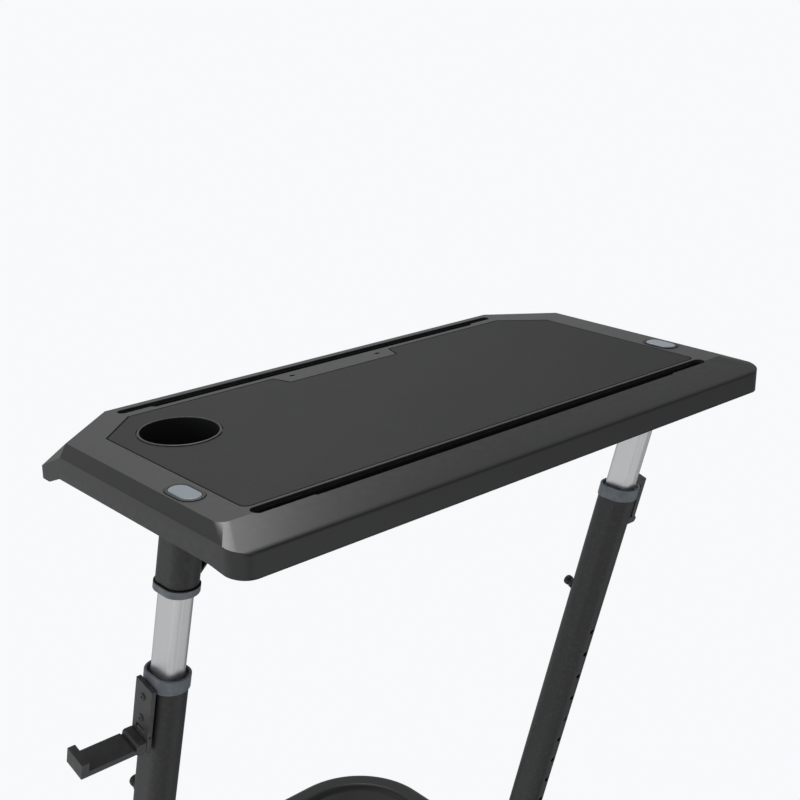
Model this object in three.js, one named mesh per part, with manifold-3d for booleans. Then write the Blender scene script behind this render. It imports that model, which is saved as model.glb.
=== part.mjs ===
// Height-adjustable desk that rolls in over a bicycle on an indoor trainer.
// Millimetres, +Z up, floor at Z = 0. The rider sits on the -Y side and faces +Y, with +X to the right.
// Parts named left and right are so from the rider's seat.

import * as THREE from 'three';
import { mergeVertices } from 'three/addons/utils/BufferGeometryUtils.js';
import { ConvexGeometry } from 'three/addons/geometries/ConvexGeometry.js';
import Module from 'manifold-3d';

const wasm = await Module();
wasm.setup();

// Overall layout
const deskHeight = 1048;
const deskLength = 800;
const deskDepth = 395.4;
const legInset = 35;
const legTilt = THREE.MathUtils.degToRad(14.7);
const legTopY = -58;
const legTopDrop = 34;

// Clearances and cutting overruns
const seatGap = 0.3;
const slideGap = 0.6;
const guideGap = 0.4;
const cutOverrun = 5;
const nearNothing = 0.01;

// Facets on round work
const fineFacets = 32;
const roundFacets = 12;
const smallFacets = 8;
const obroundFacets = 3;
const cornerFacets = 3;
const nearCornerFacets = 7;
const wheelFacets = 16;
const treadFacets = 2;
const hexFacets = 3;

// Desktop housing: flat plateau, falling borders, skirt
const plateauSideInset = 17.4;
const plateauNearInset = 50.7;
const plateauCornerRadius = 12;
const sideBevelDrop = 6.5;
const frontSlopeDrop = 11.7;
const nearCornerRadius = 23;
const farEdgeRadius = 4;
const farChamferLength = 99;
const farChamferDepth = 41.7;
const plateauChamferDepth = 65.7;
const farFacetDrop = 27;
const sideFacetSetback = 83.7;
const skirtNearDepth = 36.8;
const skirtNearRun = 45;
const skirtSideDepth = 31.5;
const skirtFarDepth = 41.5;
const skirtFarReach = 55.7;
const skirtFarRise = 23;
const skirtLipInset = 41;
const skirtLipRadius = 6;
const skirtLipRise = 6.5;
const housingWall = 4.5;

// Working mat let into the plateau
const matDepth = 1.6;
const matGap = 1.2;
const matEndInset = 55;
const matNearInset = 65.8;
const matFarInset = 37;
const matChamferLength = 53.5;
const matChamferDepth = 44.9;
const matCornerRadius = 9;
const matNotchHalfWidth = 92;
const matNotchDepth = 24;
const matNotchSlant = 8;

// Two long slots that hold a tablet upright, with a tray below each
const nearSlotEndInset = 55;
const nearSlotInset = 54.5;
const nearSlotWidth = 14;
const nearSlotStepInset = 150;
const nearSlotStep = 1.6;
const farSlotEndInset = 107;
const farSlotInset = 18.9;
const farSlotWidth = 11.4;
const farSlotStepInset = 146;
const farSlotStep = 4.2;
const slotTrayWall = 1.6;
const slotTraySink = 3.2;
const slotTrayDepth = 19;
const tabHoleX = 68;
const tabHoleFarInset = 42.7;
const tabHoleLength = 8;
const tabHoleWidth = 4;

// Cup well
const cupSideInset = 124.2;
const cupFarInset = 116.2;
const cupBore = 85;
const cupRimWidth = 2.6;
const cupRimHeight = 1;
const cupWall = 2;
const cupDepth = 62;
const cupFloorRadius = 6;

// Release buttons over the legs
const buttonWidth = 22;
const buttonLength = 41;
const bezelWidth = 29.5;
const bezelLength = 48.5;
const bezelHeight = 0.8;
const bezelDepth = 9;
const buttonCrown = 1.2;
const buttonBody = 11;
const buttonLedgeWidth = 3;
const buttonSetback = 2.5;

// Underside pan
const panThickness = 2.5;
const panInset = 14;
const panRise = 3;
const panRibWidth = 3;
const panRibCount = 3;
const panScrewHead = 9;
const panScrewRise = 1.6;

// Leg head: bracket under the desktop and the sleeve that grips the inner tube
const bracketWidth = 58;
const bracketLength = 104;
const bracketThickness = 4;
const bracketCornerRadius = 8;
const bracketScrewHead = 11;
const bracketScrewRise = 3;
const bracketScrewPitchX = 40;
const bracketScrewPitchY = 84;
const sleeveWidth = 34.4;
const sleeveLength = 50.2;
const sleeveEnd = 68.6;
const sleeveCollarWidth = 38;
const sleeveCollarLength = 53.6;
const sleeveCollarHeight = 10.5;
const rodPassage = 11;

// Inner tube of polished aluminium
const innerTubeWidth = 22.6;
const innerTubeLength = 40.4;
const innerTubeRadius = 8;
const innerTubeWall = 2.2;
const innerTubeStart = 12;
const innerTubeEnd = 642;
const grooveWidth = 1.4;
const grooveDepth = 0.8;
const grooveInset = 8.3;

// Lower tube of painted steel
const lowerTubeWidth = 35.8;
const lowerTubeLength = 52.8;
const lowerTubeWall = 1.6;
const lowerTubeStart = 193;
const lowerTubeFootGap = 0.7;
const heightHoleStart = 430;
const heightHolePitch = 43;
const heightHoleCount = 10;
const heightHoleWidth = 8;
const restHole = 4;

// Collar that guides the inner tube in the lower tube
const collarWidth = 39.4;
const collarLength = 56;
const collarTop = 184.6;
const collarHeight = 19;
const collarRimWall = 3;
const collarRimDepth = 6;
const collarFloor = 3;
const guideLength = 46;
const tongueNotchWidth = 7;
const tongueNotchX = 6;

// Height detent at the foot of the inner tube
const plugHeight = 46;
const plugShoulder = 2;
const detentBodyWidth = 12;
const detentBodyHeight = 22;
const detentNoseWidth = 7;
const detentNoseGap = 0.4;
const detentTravel = 4;
const detentRear = 13;
const detentSetback = 3;
const rodDiameter = 6;
const rodWedgeHalf = 3;

// Clamp lever on the inner side of the sleeve
const leverThickness = 3;
const leverWidth = 27;
const leverStart = 21;
const leverEnd = 62;
const leverPivotStation = 33;
const leverPivotDiameter = 4;
const leverBossDiameter = 13;
const leverBossHeight = 7;
const leverY = -6;
const leverStandoff = 1.2;

// Pull knob behind each lower tube
const knobStation = 378;
const knobHousingDiameter = 15;
const knobHousingHeight = 5;
const knobDiameter = 14.4;
const knobHeight = 10;
const knobStem = 5.6;
const knobGap = 0.5;
const knobWaist = 1;
const knobShoulder = 1;

// Folding hook outside each lower tube
const hookWidth = 30;
const hookY = 2;
const hookPlateStart = 195;
const hookPlateEnd = 281;
const hookPlateOffset = 20.6;
const hookPlateThickness = 5.6;
const hookPivotStation = 258;
const hookTongueWidth = 14;
const hookTongueRadius = 2.4;
const hookPinDiameter = 2.4;
const hookPinLength = 26;
const hookReach = 102;
const hookArmTop = 267;
const hookArmThickness = 8;
const hookBlockReach = 11.5;
const hookBlockTop = 263;
const hookBlockDrop = 4;
const hookGrooveWidth = 2.4;
const hookGrooveDepth = 2.2;
const hookLipThickness = 9;
const hookLipRise = 11.5;
const hookScrewStations = [211, 240];
const hookScrewHead = 8.4;
const hookScrewRise = 1.6;
const hookScrewShank = 4.6;
const hookScrewSocket = 3.4;
const hookScrewSocketDepth = 1.2;
const hookSpacerDiameter = 12;
const hookSlotRise = 4;

// Floor frame: a horseshoe of steel tube, open towards the rider
const frameTubeWidth = 40;
const frameTubeHeight = 45;
const frameTubeRadius = 12;
const frameTubeWall = 2;
const frameBottom = 61;
const frameNearY = -190;
const frameFarY = 565;
const frameBendRadius = 118;
const frameBendSteps = 6;
const socketHeight = 62;
const socketWall = 3.4;
const socketBoltRise = 30.7;
const boltDiameter = 7.6;
const boltHeadDiameter = 13;
const boltHeadHeight = 4.6;
const capThickness = 4;
const capPlugDepth = 16;

// Swivelling casters
const wheelDiameter = 50;
const wheelWidth = 19;
const wheelTreadRadius = 5;
const wheelRecess = 3;
const wheelWebRadiusShare = 0.62;
const axleDiameter = 7;
const axleGap = 0.08;
const casterTrail = 21;
const forkWall = 2.6;
const forkInner = 21.4;
const forkNose = 15;
const forkCrownThickness = 4;
const casterPlateGap = 0.6;
const casterStemDiameter = 10;
const casterStemLength = 30;
const casterRaceDiameter = 24;
const casterRaceHeight = 3;
const nearCasterY = -150;
const farCasterInset = 103;
const pedalLength = 30;
const pedalThickness = 3;
const pedalPivotRise = 12;
const pedalPivotBack = 21;
const pedalPivotDiameter = 4;

// Finishes
const finishes = {
  housing: { color: 0x4a4a4b, roughness: 0.6, metalness: 0 },
  mat: { color: 0x3e3e3f, roughness: 0.75, metalness: 0 },
  dark: { color: 0x151516, roughness: 0.55, metalness: 0 },
  button: { color: 0x9aa5b0, roughness: 0.35, metalness: 0 },
  silver: { color: 0xb9bbbc, roughness: 0.32, metalness: 0.9 },
  collar: { color: 0x596670, roughness: 0.55, metalness: 0 },
  tube: { color: 0x2b2b2c, roughness: 0.5, metalness: 0.4 },
  hook: { color: 0x232324, roughness: 0.6, metalness: 0 },
  steel: { color: 0x8d8f91, roughness: 0.35, metalness: 0.9 },
  tread: { color: 0x1b1b1c, roughness: 0.8, metalness: 0 },
};

const materials = {};
for (const [name, finish] of Object.entries(finishes)) {
  materials[name] = new THREE.MeshStandardMaterial({ ...finish, name, flatShading: true });
}

// Solid helpers

function solidOf(geometry) {
  geometry.deleteAttribute('normal');
  geometry.deleteAttribute('uv');
  const merged = mergeVertices(geometry);
  return new wasm.Manifold(new wasm.Mesh({
    numProp: 3,
    vertProperties: new Float32Array(merged.attributes.position.array),
    triVerts: new Uint32Array(merged.index.array),
  }));
}

function geometryOf(solid) {
  const mesh = solid.getMesh();
  const geometry = new THREE.BufferGeometry();
  geometry.setAttribute('position', new THREE.BufferAttribute(new Float32Array(mesh.vertProperties), 3));
  geometry.setIndex(new THREE.BufferAttribute(new Uint32Array(mesh.triVerts), 1));
  geometry.computeVertexNormals();
  return geometry;
}

function extruded(shape, depth, facets) {
  return new THREE.ExtrudeGeometry(shape, { depth, bevelEnabled: false, curveSegments: facets });
}

// Extrusion along Z of an outline drawn in X and Y.
function prismZ(shape, low, high, facets = obroundFacets) {
  return solidOf(extruded(shape, high - low, facets).translate(0, 0, low));
}

// Extrusion along X of an outline drawn in Y and Z.
function prismX(shape, low, high, facets = obroundFacets) {
  const turn = new THREE.Matrix4().makeBasis(
    new THREE.Vector3(0, 1, 0), new THREE.Vector3(0, 0, 1), new THREE.Vector3(1, 0, 0));
  return solidOf(extruded(shape, high - low, facets).translate(0, 0, low).applyMatrix4(turn));
}

// Extrusion along Y of an outline drawn in X and Z.
function prismY(shape, low, high, facets = obroundFacets) {
  return solidOf(extruded(shape, high - low, facets).rotateX(Math.PI / 2).translate(0, high, 0));
}

// Outline from corner points, some of them [x, y] pairs with a third value that rounds the corner.
function outline(points, facets = cornerFacets) {
  const shape = new THREE.Shape();
  const count = points.length;
  for (let i = 0; i < count; i += 1) {
    const [x, y, radius = 0] = points[i];
    const corner = new THREE.Vector2(x, y);
    const before = new THREE.Vector2(...points[(i + count - 1) % count].slice(0, 2));
    const after = new THREE.Vector2(...points[(i + 1) % count].slice(0, 2));
    const entry = before.sub(corner).normalize();
    const exit = after.sub(corner).normalize();
    const reach = radius / Math.tan(Math.acos(THREE.MathUtils.clamp(entry.dot(exit), -1, 1)) / 2);
    const start = corner.clone().addScaledVector(entry, reach);
    if (i === 0) {
      shape.moveTo(start.x, start.y);
    } else {
      shape.lineTo(start.x, start.y);
    }
    if (radius > 0) {
      const middle = entry.clone().add(exit).normalize();
      const toCentre = Math.hypot(reach, radius);
      const centre = corner.clone().addScaledVector(middle, toCentre);
      const end = corner.clone().addScaledVector(exit, reach);
      const from = Math.atan2(start.y - centre.y, start.x - centre.x);
      const to = Math.atan2(end.y - centre.y, end.x - centre.x);
      const turn = Math.atan2(Math.sin(to - from), Math.cos(to - from));
      for (let step = 1; step <= facets; step += 1) {
        const angle = from + turn * step / facets;
        shape.lineTo(centre.x + radius * Math.cos(angle), centre.y + radius * Math.sin(angle));
      }
    }
  }
  shape.closePath();
  return shape;
}

function rectangle(width, height, radius = 0, x = 0, y = 0, facets = cornerFacets) {
  const w = width / 2;
  const h = height / 2;
  const corners = [[x - w, y - h], [x + w, y - h], [x + w, y + h], [x - w, y + h]];
  return outline(corners.map((corner) => [...corner, radius]), facets);
}

// Outline with straight flanks and half-round ends, longer along Y.
function obround(width, length, x = 0, y = 0) {
  const radius = width / 2;
  const half = length / 2 - radius;
  const shape = new THREE.Shape();
  shape.moveTo(x + radius, y - half);
  shape.lineTo(x + radius, y + half);
  shape.absarc(x, y + half, radius, 0, Math.PI, false);
  shape.lineTo(x - radius, y - half);
  shape.absarc(x, y - half, radius, Math.PI, Math.PI * 2, false);
  return shape;
}

// Outline with straight flanks and half-round ends, longer along X.
function longObround(width, length, x = 0, y = 0) {
  const radius = width / 2;
  const half = length / 2 - radius;
  const shape = new THREE.Shape();
  shape.moveTo(x - half, y - radius);
  shape.lineTo(x + half, y - radius);
  shape.absarc(x + half, y, radius, -Math.PI / 2, Math.PI / 2, false);
  shape.lineTo(x - half, y + radius);
  shape.absarc(x - half, y, radius, Math.PI / 2, Math.PI * 1.5, false);
  return shape;
}

function circle(diameter, x = 0, y = 0) {
  const shape = new THREE.Shape();
  shape.absarc(x, y, diameter / 2, 0, Math.PI * 2, false);
  return shape;
}

// Solid of revolution about Z from [radius, z] points that run from the axis back to the axis.
function revolved(points, facets) {
  const profile = points.map(([radius, z]) => new THREE.Vector2(radius, z));
  const geometry = new THREE.LatheGeometry(profile, facets);
  geometry.rotateX(Math.PI / 2);
  return solidOf(geometry);
}

function rodZ(diameter, low, high, facets = smallFacets, x = 0, y = 0) {
  return prismZ(circle(diameter, x, y), low, high, Math.ceil(facets / 2));
}

function joined(solids) {
  return solids.reduce((sum, next) => sum.add(next));
}

const model = new THREE.Group();

function place(name, solid, finish, parent) {
  const mesh = new THREE.Mesh(geometryOf(solid), materials[finish]);
  mesh.name = name;
  parent.add(mesh);
  return mesh;
}

const sides = [{ name: 'left', sign: -1 }, { name: 'right', sign: 1 }];

// Desktop

const desktop = new THREE.Group();
desktop.position.z = deskHeight;
model.add(desktop);

const halfLength = deskLength / 2;
const halfDepth = deskDepth / 2;
const legX = halfLength - legInset;
const cupX = -halfLength + cupSideInset;
const cupY = halfDepth - cupFarInset;
const tabHoleY = halfDepth - tabHoleFarInset;
const farCasterX = legX - farCasterInset;
const stationDrop = Math.cos(legTilt);
const stationBack = Math.sin(legTilt);
const levelSlope = Math.tan(legTilt);
const buttonY = legTopY - legTopDrop * levelSlope + buttonSetback;
const underside = -skirtSideDepth + panRise;
const frameTop = frameBottom + frameTubeHeight;
const legFootStation = (deskHeight - legTopDrop - frameTop) / stationDrop;
const lowerTubeEnd = legFootStation - lowerTubeFootGap;
const socketBoltStation = legFootStation - socketBoltRise;

function cornerArc(centreX, centreY, radius, startHeight, endHeight, inset) {
  const points = [];
  for (let i = 0; i <= nearCornerFacets; i += 1) {
    const share = i / nearCornerFacets;
    const angle = -Math.PI / 2 + share * Math.PI / 2;
    const z = THREE.MathUtils.lerp(startHeight, endHeight, share) - inset;
    const x = centreX + (radius - inset) * Math.cos(angle);
    const y = centreY + (radius - inset) * Math.sin(angle);
    points.push([x, y, z]);
  }
  return points;
}

// Convex form of the desktop, drawn in by the inset on every side and above.
function desktopForm(inset, bottom) {
  const plateauX = halfLength - plateauSideInset - plateauCornerRadius;
  const plateauY = -halfDepth + plateauNearInset + plateauCornerRadius;
  const edgeX = halfLength - nearCornerRadius;
  const edgeY = -halfDepth + nearCornerRadius;
  const chamferX = halfLength - farChamferLength;
  const right = [
    ...cornerArc(plateauX, plateauY, plateauCornerRadius, 0, 0, inset),
    ...cornerArc(edgeX, edgeY, nearCornerRadius, -frontSlopeDrop, -sideBevelDrop, inset),
    [halfLength - plateauSideInset - inset, halfDepth - plateauChamferDepth - inset, -inset],
    [chamferX - inset, halfDepth - farEdgeRadius - inset, -inset],
    [chamferX - inset, halfDepth - inset, -farEdgeRadius - inset],
    [halfLength - inset, halfDepth - sideFacetSetback - inset, -sideBevelDrop - inset],
    [halfLength - inset, halfDepth - farChamferDepth - inset, -farFacetDrop - inset],
    ...cornerArc(edgeX, edgeY, nearCornerRadius, bottom + inset, bottom + inset, inset),
    [halfLength - inset, halfDepth - farChamferDepth - inset, bottom],
    [chamferX - inset, halfDepth - inset, bottom],
  ];
  const points = [];
  for (const [x, y, z] of right) {
    points.push(new THREE.Vector3(x, y, z), new THREE.Vector3(-x, y, z));
  }
  return solidOf(new ConvexGeometry(points));
}

// Lower edge of the skirt, seen from the side: nearly level, with a deeper lip along the far edge.
function belowSkirt() {
  const floor = -skirtFarDepth - cutOverrun * 2;
  const farStart = halfDepth - skirtFarReach;
  const lipEnd = halfDepth - skirtLipInset;
  const lipTop = -skirtFarDepth + skirtLipRise;
  const profile = outline([
    [-halfDepth - cutOverrun, floor],
    [-halfDepth - cutOverrun, -skirtNearDepth],
    [-halfDepth, -skirtNearDepth],
    [-halfDepth + skirtNearRun, -skirtSideDepth],
    [farStart - skirtFarRise, -skirtSideDepth],
    [farStart, -skirtFarDepth],
    [lipEnd, -skirtFarDepth, skirtLipRadius],
    [lipEnd + skirtLipRise, lipTop],
    [halfDepth + cutOverrun, lipTop],
    [halfDepth + cutOverrun, floor],
  ].reverse());
  return prismX(profile, -halfLength - cutOverrun, halfLength + cutOverrun);
}

function matOutline(inset) {
  const x = halfLength - matEndInset - inset;
  const near = -halfDepth + matNearInset + inset;
  const far = halfDepth - matFarInset - inset;
  const notchX = matNotchHalfWidth + inset;
  const notchY = far - matNotchDepth;
  const innerNotchX = notchX - matNotchSlant;
  const right = [
    [x, near, matCornerRadius],
    [x, far - matChamferDepth],
    [x - matChamferLength, far],
    [notchX, far],
    [innerNotchX, notchY],
  ];
  const left = right.map(([px, py, radius = 0]) => [-px, py, radius]).reverse();
  return outline([...right, ...left]);
}

// Slot outline: half-round ends and a middle stretch that is wider towards the rider by the step.
function slotOutline({ halfRun, y, width, stepHalfRun, step }, inset) {
  const radius = width / 2 - nearNothing;
  const low = y - width / 2 + inset;
  const high = y + width / 2 - inset;
  const end = halfRun - inset;
  const stepX = stepHalfRun - inset;
  const round = radius - inset;
  return outline([
    [-end, low, round],
    [-stepX, low],
    [-stepX + step, low - step],
    [stepX - step, low - step],
    [stepX, low],
    [end, low, round],
    [end, high, round],
    [-end, high, round],
  ]);
}

function nearSlot(inset) {
  return slotOutline({
    halfRun: halfLength - nearSlotEndInset,
    y: -halfDepth + nearSlotInset,
    width: nearSlotWidth,
    stepHalfRun: halfLength - nearSlotStepInset,
    step: nearSlotStep,
  }, inset);
}

function farSlot(inset) {
  return slotOutline({
    halfRun: halfLength - farSlotEndInset,
    y: halfDepth - farSlotInset,
    width: farSlotWidth,
    stepHalfRun: halfLength - farSlotStepInset,
    step: farSlotStep,
  }, inset);
}

function desktopShell() {
  const cavity = desktopForm(housingWall, -skirtFarDepth - cutOverrun);
  const shell = desktopForm(0, -skirtFarDepth).subtract(cavity).subtract(belowSkirt());
  const top = cutOverrun;
  const through = -housingWall - cutOverrun;
  const cuts = [
    prismZ(matOutline(0), -matDepth, top),
    prismZ(nearSlot(0), through, top),
    prismZ(farSlot(0), through, top),
    prismZ(circle(cupBore + 2 * (cupWall + seatGap), cupX, cupY), through, top, fineFacets / 2),
  ];
  for (const { sign } of sides) {
    cuts.push(prismZ(obround(bezelWidth + 2 * seatGap, bezelLength + 2 * seatGap,
      sign * legX, buttonY), through, top));
    cuts.push(prismZ(longObround(tabHoleWidth, tabHoleLength, sign * tabHoleX, tabHoleY),
      through, top, smallFacets / 2));
  }
  return shell.subtract(joined(cuts));
}

function deskMat() {
  const mat = prismZ(matOutline(matGap), -matDepth + seatGap, 0);
  const hole = cupBore + 2 * (cupRimWidth + matGap);
  return mat.subtract(prismZ(circle(hole, cupX, cupY), -matDepth - cutOverrun, cutOverrun, fineFacets / 2));
}

// Cup well: rim that lies in the mat's hole, straight wall and rounded floor.
function cupInsert() {
  const inner = cupBore / 2;
  const outer = inner + cupWall;
  const rim = inner + cupRimWidth;
  const rimBottom = -matDepth + seatGap;
  const outerRound = [];
  const innerRound = [];
  for (let i = 0; i <= cornerFacets; i += 1) {
    const angle = (i / cornerFacets) * Math.PI / 2;
    const outerRadius = cupFloorRadius + cupWall;
    outerRound.push([
      outer - outerRadius + outerRadius * Math.sin(angle),
      -cupDepth - cupWall + outerRadius - outerRadius * Math.cos(angle)]);
    innerRound.push([
      inner - cupFloorRadius + cupFloorRadius * Math.sin(angle),
      -cupDepth + cupFloorRadius - cupFloorRadius * Math.cos(angle)]);
  }
  const profile = [
    [0, -cupDepth - cupWall],
    ...outerRound,
    [outer, rimBottom],
    [rim, rimBottom],
    [rim, cupRimHeight - cupWall / 2],
    [rim - cupRimHeight, cupRimHeight],
    [inner, cupRimHeight],
    ...innerRound.reverse(),
    [0, -cupDepth],
  ];
  return revolved(profile, fineFacets).translate([cupX, cupY, 0]);
}

// Tray that closes a slot from below: a trough inside the slot's walls.
function slotTray(slot) {
  const outer = prismZ(slot(seatGap), -slotTrayDepth, -slotTraySink);
  const inner = prismZ(slot(seatGap + slotTrayWall), -slotTrayDepth + slotTrayWall, cutOverrun);
  return outer.subtract(inner);
}

function undersidePan() {
  const bottom = underside;
  const top = bottom + panThickness;
  const inset = panInset;
  const near = -halfDepth + inset;
  const far = halfDepth - inset;
  const side = halfLength - inset;
  const slab = prismZ(rectangle(deskLength, deskDepth), bottom, top);
  const solids = [slab.intersect(desktopForm(housingWall + seatGap, -skirtFarDepth))];
  const ribPitch = (far - near) / (panRibCount + 1);
  const ribHalf = legX - bracketWidth;
  for (let i = 1; i <= panRibCount; i += 1) {
    const y = near + i * ribPitch;
    const rib = rectangle(2 * ribHalf, panRibWidth, 0, 0, y);
    solids.push(prismZ(rib, bottom - panScrewRise, bottom + nearNothing));
  }
  for (const x of [-1, 0, 1]) {
    for (const y of [near, far]) {
      const inward = -Math.sign(y) * panScrewHead;
      solids.push(rodZ(panScrewHead, bottom - panScrewRise, bottom + nearNothing, smallFacets,
        x * (side - farChamferLength), y + inward));
    }
  }
  let pan = joined(solids);
  const cupHole = circle(cupBore + 2 * (cupWall + slideGap), cupX, cupY);
  pan = pan.subtract(prismZ(cupHole, bottom - cutOverrun, top + cutOverrun, fineFacets / 2));
  for (const { sign } of sides) {
    const drop = -bottom / stationDrop;
    const y = buttonY + drop * stationBack;
    const hole = obround(innerTubeWidth + panThickness * 2, innerTubeLength + panThickness * 2,
      sign * legX, y);
    pan = pan.subtract(prismZ(hole, bottom - cutOverrun, top + cutOverrun));
  }
  return pan;
}

function buttonBezel(sign) {
  const x = sign * legX;
  const outer = prismZ(obround(bezelWidth, bezelLength, x, buttonY), -bezelDepth, 0);
  const rim = prismZ(obround(bezelWidth - bezelHeight, bezelLength - bezelHeight, x, buttonY),
    -bezelDepth, bezelHeight);
  const bore = prismZ(obround(buttonWidth + slideGap, buttonLength + slideGap, x, buttonY),
    -bezelDepth - cutOverrun, cutOverrun);
  return outer.add(rim).subtract(bore);
}

// Button cap with a raised crown and a skirt that keeps it under its bezel.
function buttonCap(sign) {
  const x = sign * legX;
  const body = prismZ(obround(buttonWidth, buttonLength, x, buttonY), -buttonBody, buttonCrown / 2);
  const crown = prismZ(obround(buttonWidth - buttonCrown * 2, buttonLength - buttonCrown * 2,
    x, buttonY), 0, buttonCrown);
  const ledge = prismZ(obround(buttonWidth + 2 * buttonLedgeWidth, buttonLength + 2 * buttonLedgeWidth,
    x, buttonY), -buttonBody - buttonLedgeWidth / 2, -bezelDepth - seatGap);
  return joined([body, crown, ledge]);
}

place('desktop_shell', desktopShell(), 'housing', desktop);
place('desk_mat', deskMat(), 'mat', desktop);
place('cup_insert', cupInsert(), 'dark', desktop);
place('near_slot_tray', slotTray(nearSlot), 'dark', desktop);
place('far_slot_tray', slotTray(farSlot), 'dark', desktop);
place('underside_pan', undersidePan(), 'dark', desktop);
for (const { name, sign } of sides) {
  place(`button_bezel_${name}`, buttonBezel(sign), 'dark', desktop);
  place(`button_${name}`, buttonCap(sign), 'button', desktop);
}

// Legs. Each leg's frame has its origin on the leg's axis under the desktop and +Z up the leg,
// so a station is a distance down the leg. Outward is away from the bicycle.

function legFrame(sign) {
  const leg = new THREE.Group();
  leg.position.set(sign * legX, legTopY, deskHeight - legTopDrop);
  leg.rotation.x = legTilt;
  model.add(leg);
  return leg;
}

// Everything above (or below) a level plane that crosses the leg's axis at a station.
function levelHalf(station, above) {
  const reach = deskDepth;
  const low = above ? 0 : -reach;
  const block = prismZ(rectangle(reach, reach), low, low + reach);
  return block.rotate([THREE.MathUtils.radToDeg(-legTilt), 0, 0]).translate([0, 0, -station]);
}

function levelSlice(shape, start, end) {
  const reach = levelSlope * deskDepth;
  return prismZ(shape, -end - reach, -start + reach)
    .subtract(levelHalf(start, true))
    .subtract(levelHalf(end, false));
}

function innerTubeOutline(inset) {
  const w = innerTubeWidth / 2 - inset;
  const l = innerTubeLength / 2 - inset;
  const r = innerTubeRadius - inset;
  return outline([[-w, -l, r], [w, -l, r], [w, l, r], [-w, l, r]]);
}

function innerTube() {
  const tube = prismZ(innerTubeOutline(0), -innerTubeEnd, -innerTubeStart)
    .subtract(prismZ(innerTubeOutline(innerTubeWall), -innerTubeEnd - cutOverrun,
      -innerTubeStart + cutOverrun));
  const cuts = [];
  const grooveX = innerTubeWidth / 2 - grooveInset;
  for (const x of [-1, 1]) {
    for (const y of [-1, 1]) {
      const groove = rectangle(grooveWidth, 2 * grooveDepth, 0, x * grooveX, y * innerTubeLength / 2);
      cuts.push(prismZ(groove, -innerTubeEnd - cutOverrun, -innerTubeStart + cutOverrun));
    }
  }
  const window = circle(detentNoseWidth + 2 * slideGap, 0, -restStation());
  cuts.push(prismY(window, -innerTubeLength, 0, smallFacets / 2));
  return tube.subtract(joined(cuts)).subtract(levelHalf(innerTubeStart, true));
}

function restStation() {
  return heightHoleStart + restHole * heightHolePitch;
}

// Bracket screwed under the desktop, with a hole for the push rod.
function legBracket() {
  const top = legTopDrop + underside - seatGap;
  const plate = rectangle(bracketWidth, bracketLength, bracketCornerRadius);
  const solids = [prismZ(plate, top - bracketThickness, top)];
  for (const x of [-1, 1]) {
    for (const y of [-1, 1]) {
      solids.push(rodZ(bracketScrewHead, top - bracketThickness - bracketScrewRise,
        top - bracketThickness + nearNothing, smallFacets,
        x * bracketScrewPitchX / 2, y * bracketScrewPitchY / 2));
    }
  }
  const hole = prismZ(circle(rodPassage + bracketThickness), top - bracketThickness * 2, top + cutOverrun);
  return joined(solids).subtract(hole);
}

function sleeveTop() {
  const bracketTop = legTopDrop + underside - seatGap;
  return -(bracketTop - bracketThickness - seatGap) / stationDrop;
}

function sleeve() {
  const start = sleeveTop();
  const body = levelSlice(obround(sleeveWidth, sleeveLength), start, sleeveEnd);
  const bore = prismZ(innerTubeOutline(-seatGap), -sleeveEnd * 2, -innerTubeStart + seatGap);
  const rodHole = prismZ(circle(rodPassage), -sleeveEnd, deskDepth);
  return body.subtract(bore).subtract(rodHole);
}

function sleeveCollar() {
  const start = sleeveEnd + seatGap;
  const end = start + sleeveCollarHeight;
  const body = levelSlice(obround(sleeveCollarWidth, sleeveCollarLength), start, end);
  return body.subtract(prismZ(innerTubeOutline(-seatGap), -end * 2, deskDepth));
}

function lowerTube() {
  const outer = prismZ(obround(lowerTubeWidth, lowerTubeLength), -lowerTubeEnd, -lowerTubeStart);
  const bore = prismZ(obround(lowerTubeWidth - 2 * lowerTubeWall, lowerTubeLength - 2 * lowerTubeWall),
    -lowerTubeEnd - cutOverrun, -lowerTubeStart + cutOverrun);
  const cuts = [levelHalf(lowerTubeStart, true), levelHalf(lowerTubeEnd, false)];
  for (let i = 0; i < heightHoleCount; i += 1) {
    const z = -heightHoleStart - i * heightHolePitch;
    cuts.push(prismY(circle(heightHoleWidth, 0, z), -lowerTubeLength, 0, smallFacets / 2));
  }
  cuts.push(prismY(circle(knobStem + 2 * slideGap, 0, -knobStation), 0, lowerTubeLength,
    smallFacets / 2));
  cuts.push(prismX(circle(boltDiameter + 2 * seatGap, 0, -socketBoltStation),
    -lowerTubeWidth, lowerTubeWidth, smallFacets / 2));
  return cuts.reduce((tube, cut) => tube.subtract(cut), outer.subtract(bore)).add(knobBoss());
}

// Boss welded behind the lower tube that guides the pull knob's plunger.
function knobBoss() {
  const face = lowerTubeLength / 2;
  const end = face + knobHousingHeight;
  const body = prismY(circle(knobHousingDiameter, 0, -knobStation), face - knobHousingHeight, end,
    roundFacets / 2);
  const tube = prismZ(obround(lowerTubeWidth - lowerTubeWall, lowerTubeLength - lowerTubeWall),
    -knobStation - knobHousingDiameter, -knobStation + knobHousingDiameter);
  const bore = prismY(circle(knobStem + 2 * slideGap, 0, -knobStation), 0, end * 2, smallFacets / 2);
  return body.subtract(tube).subtract(bore);
}

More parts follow.
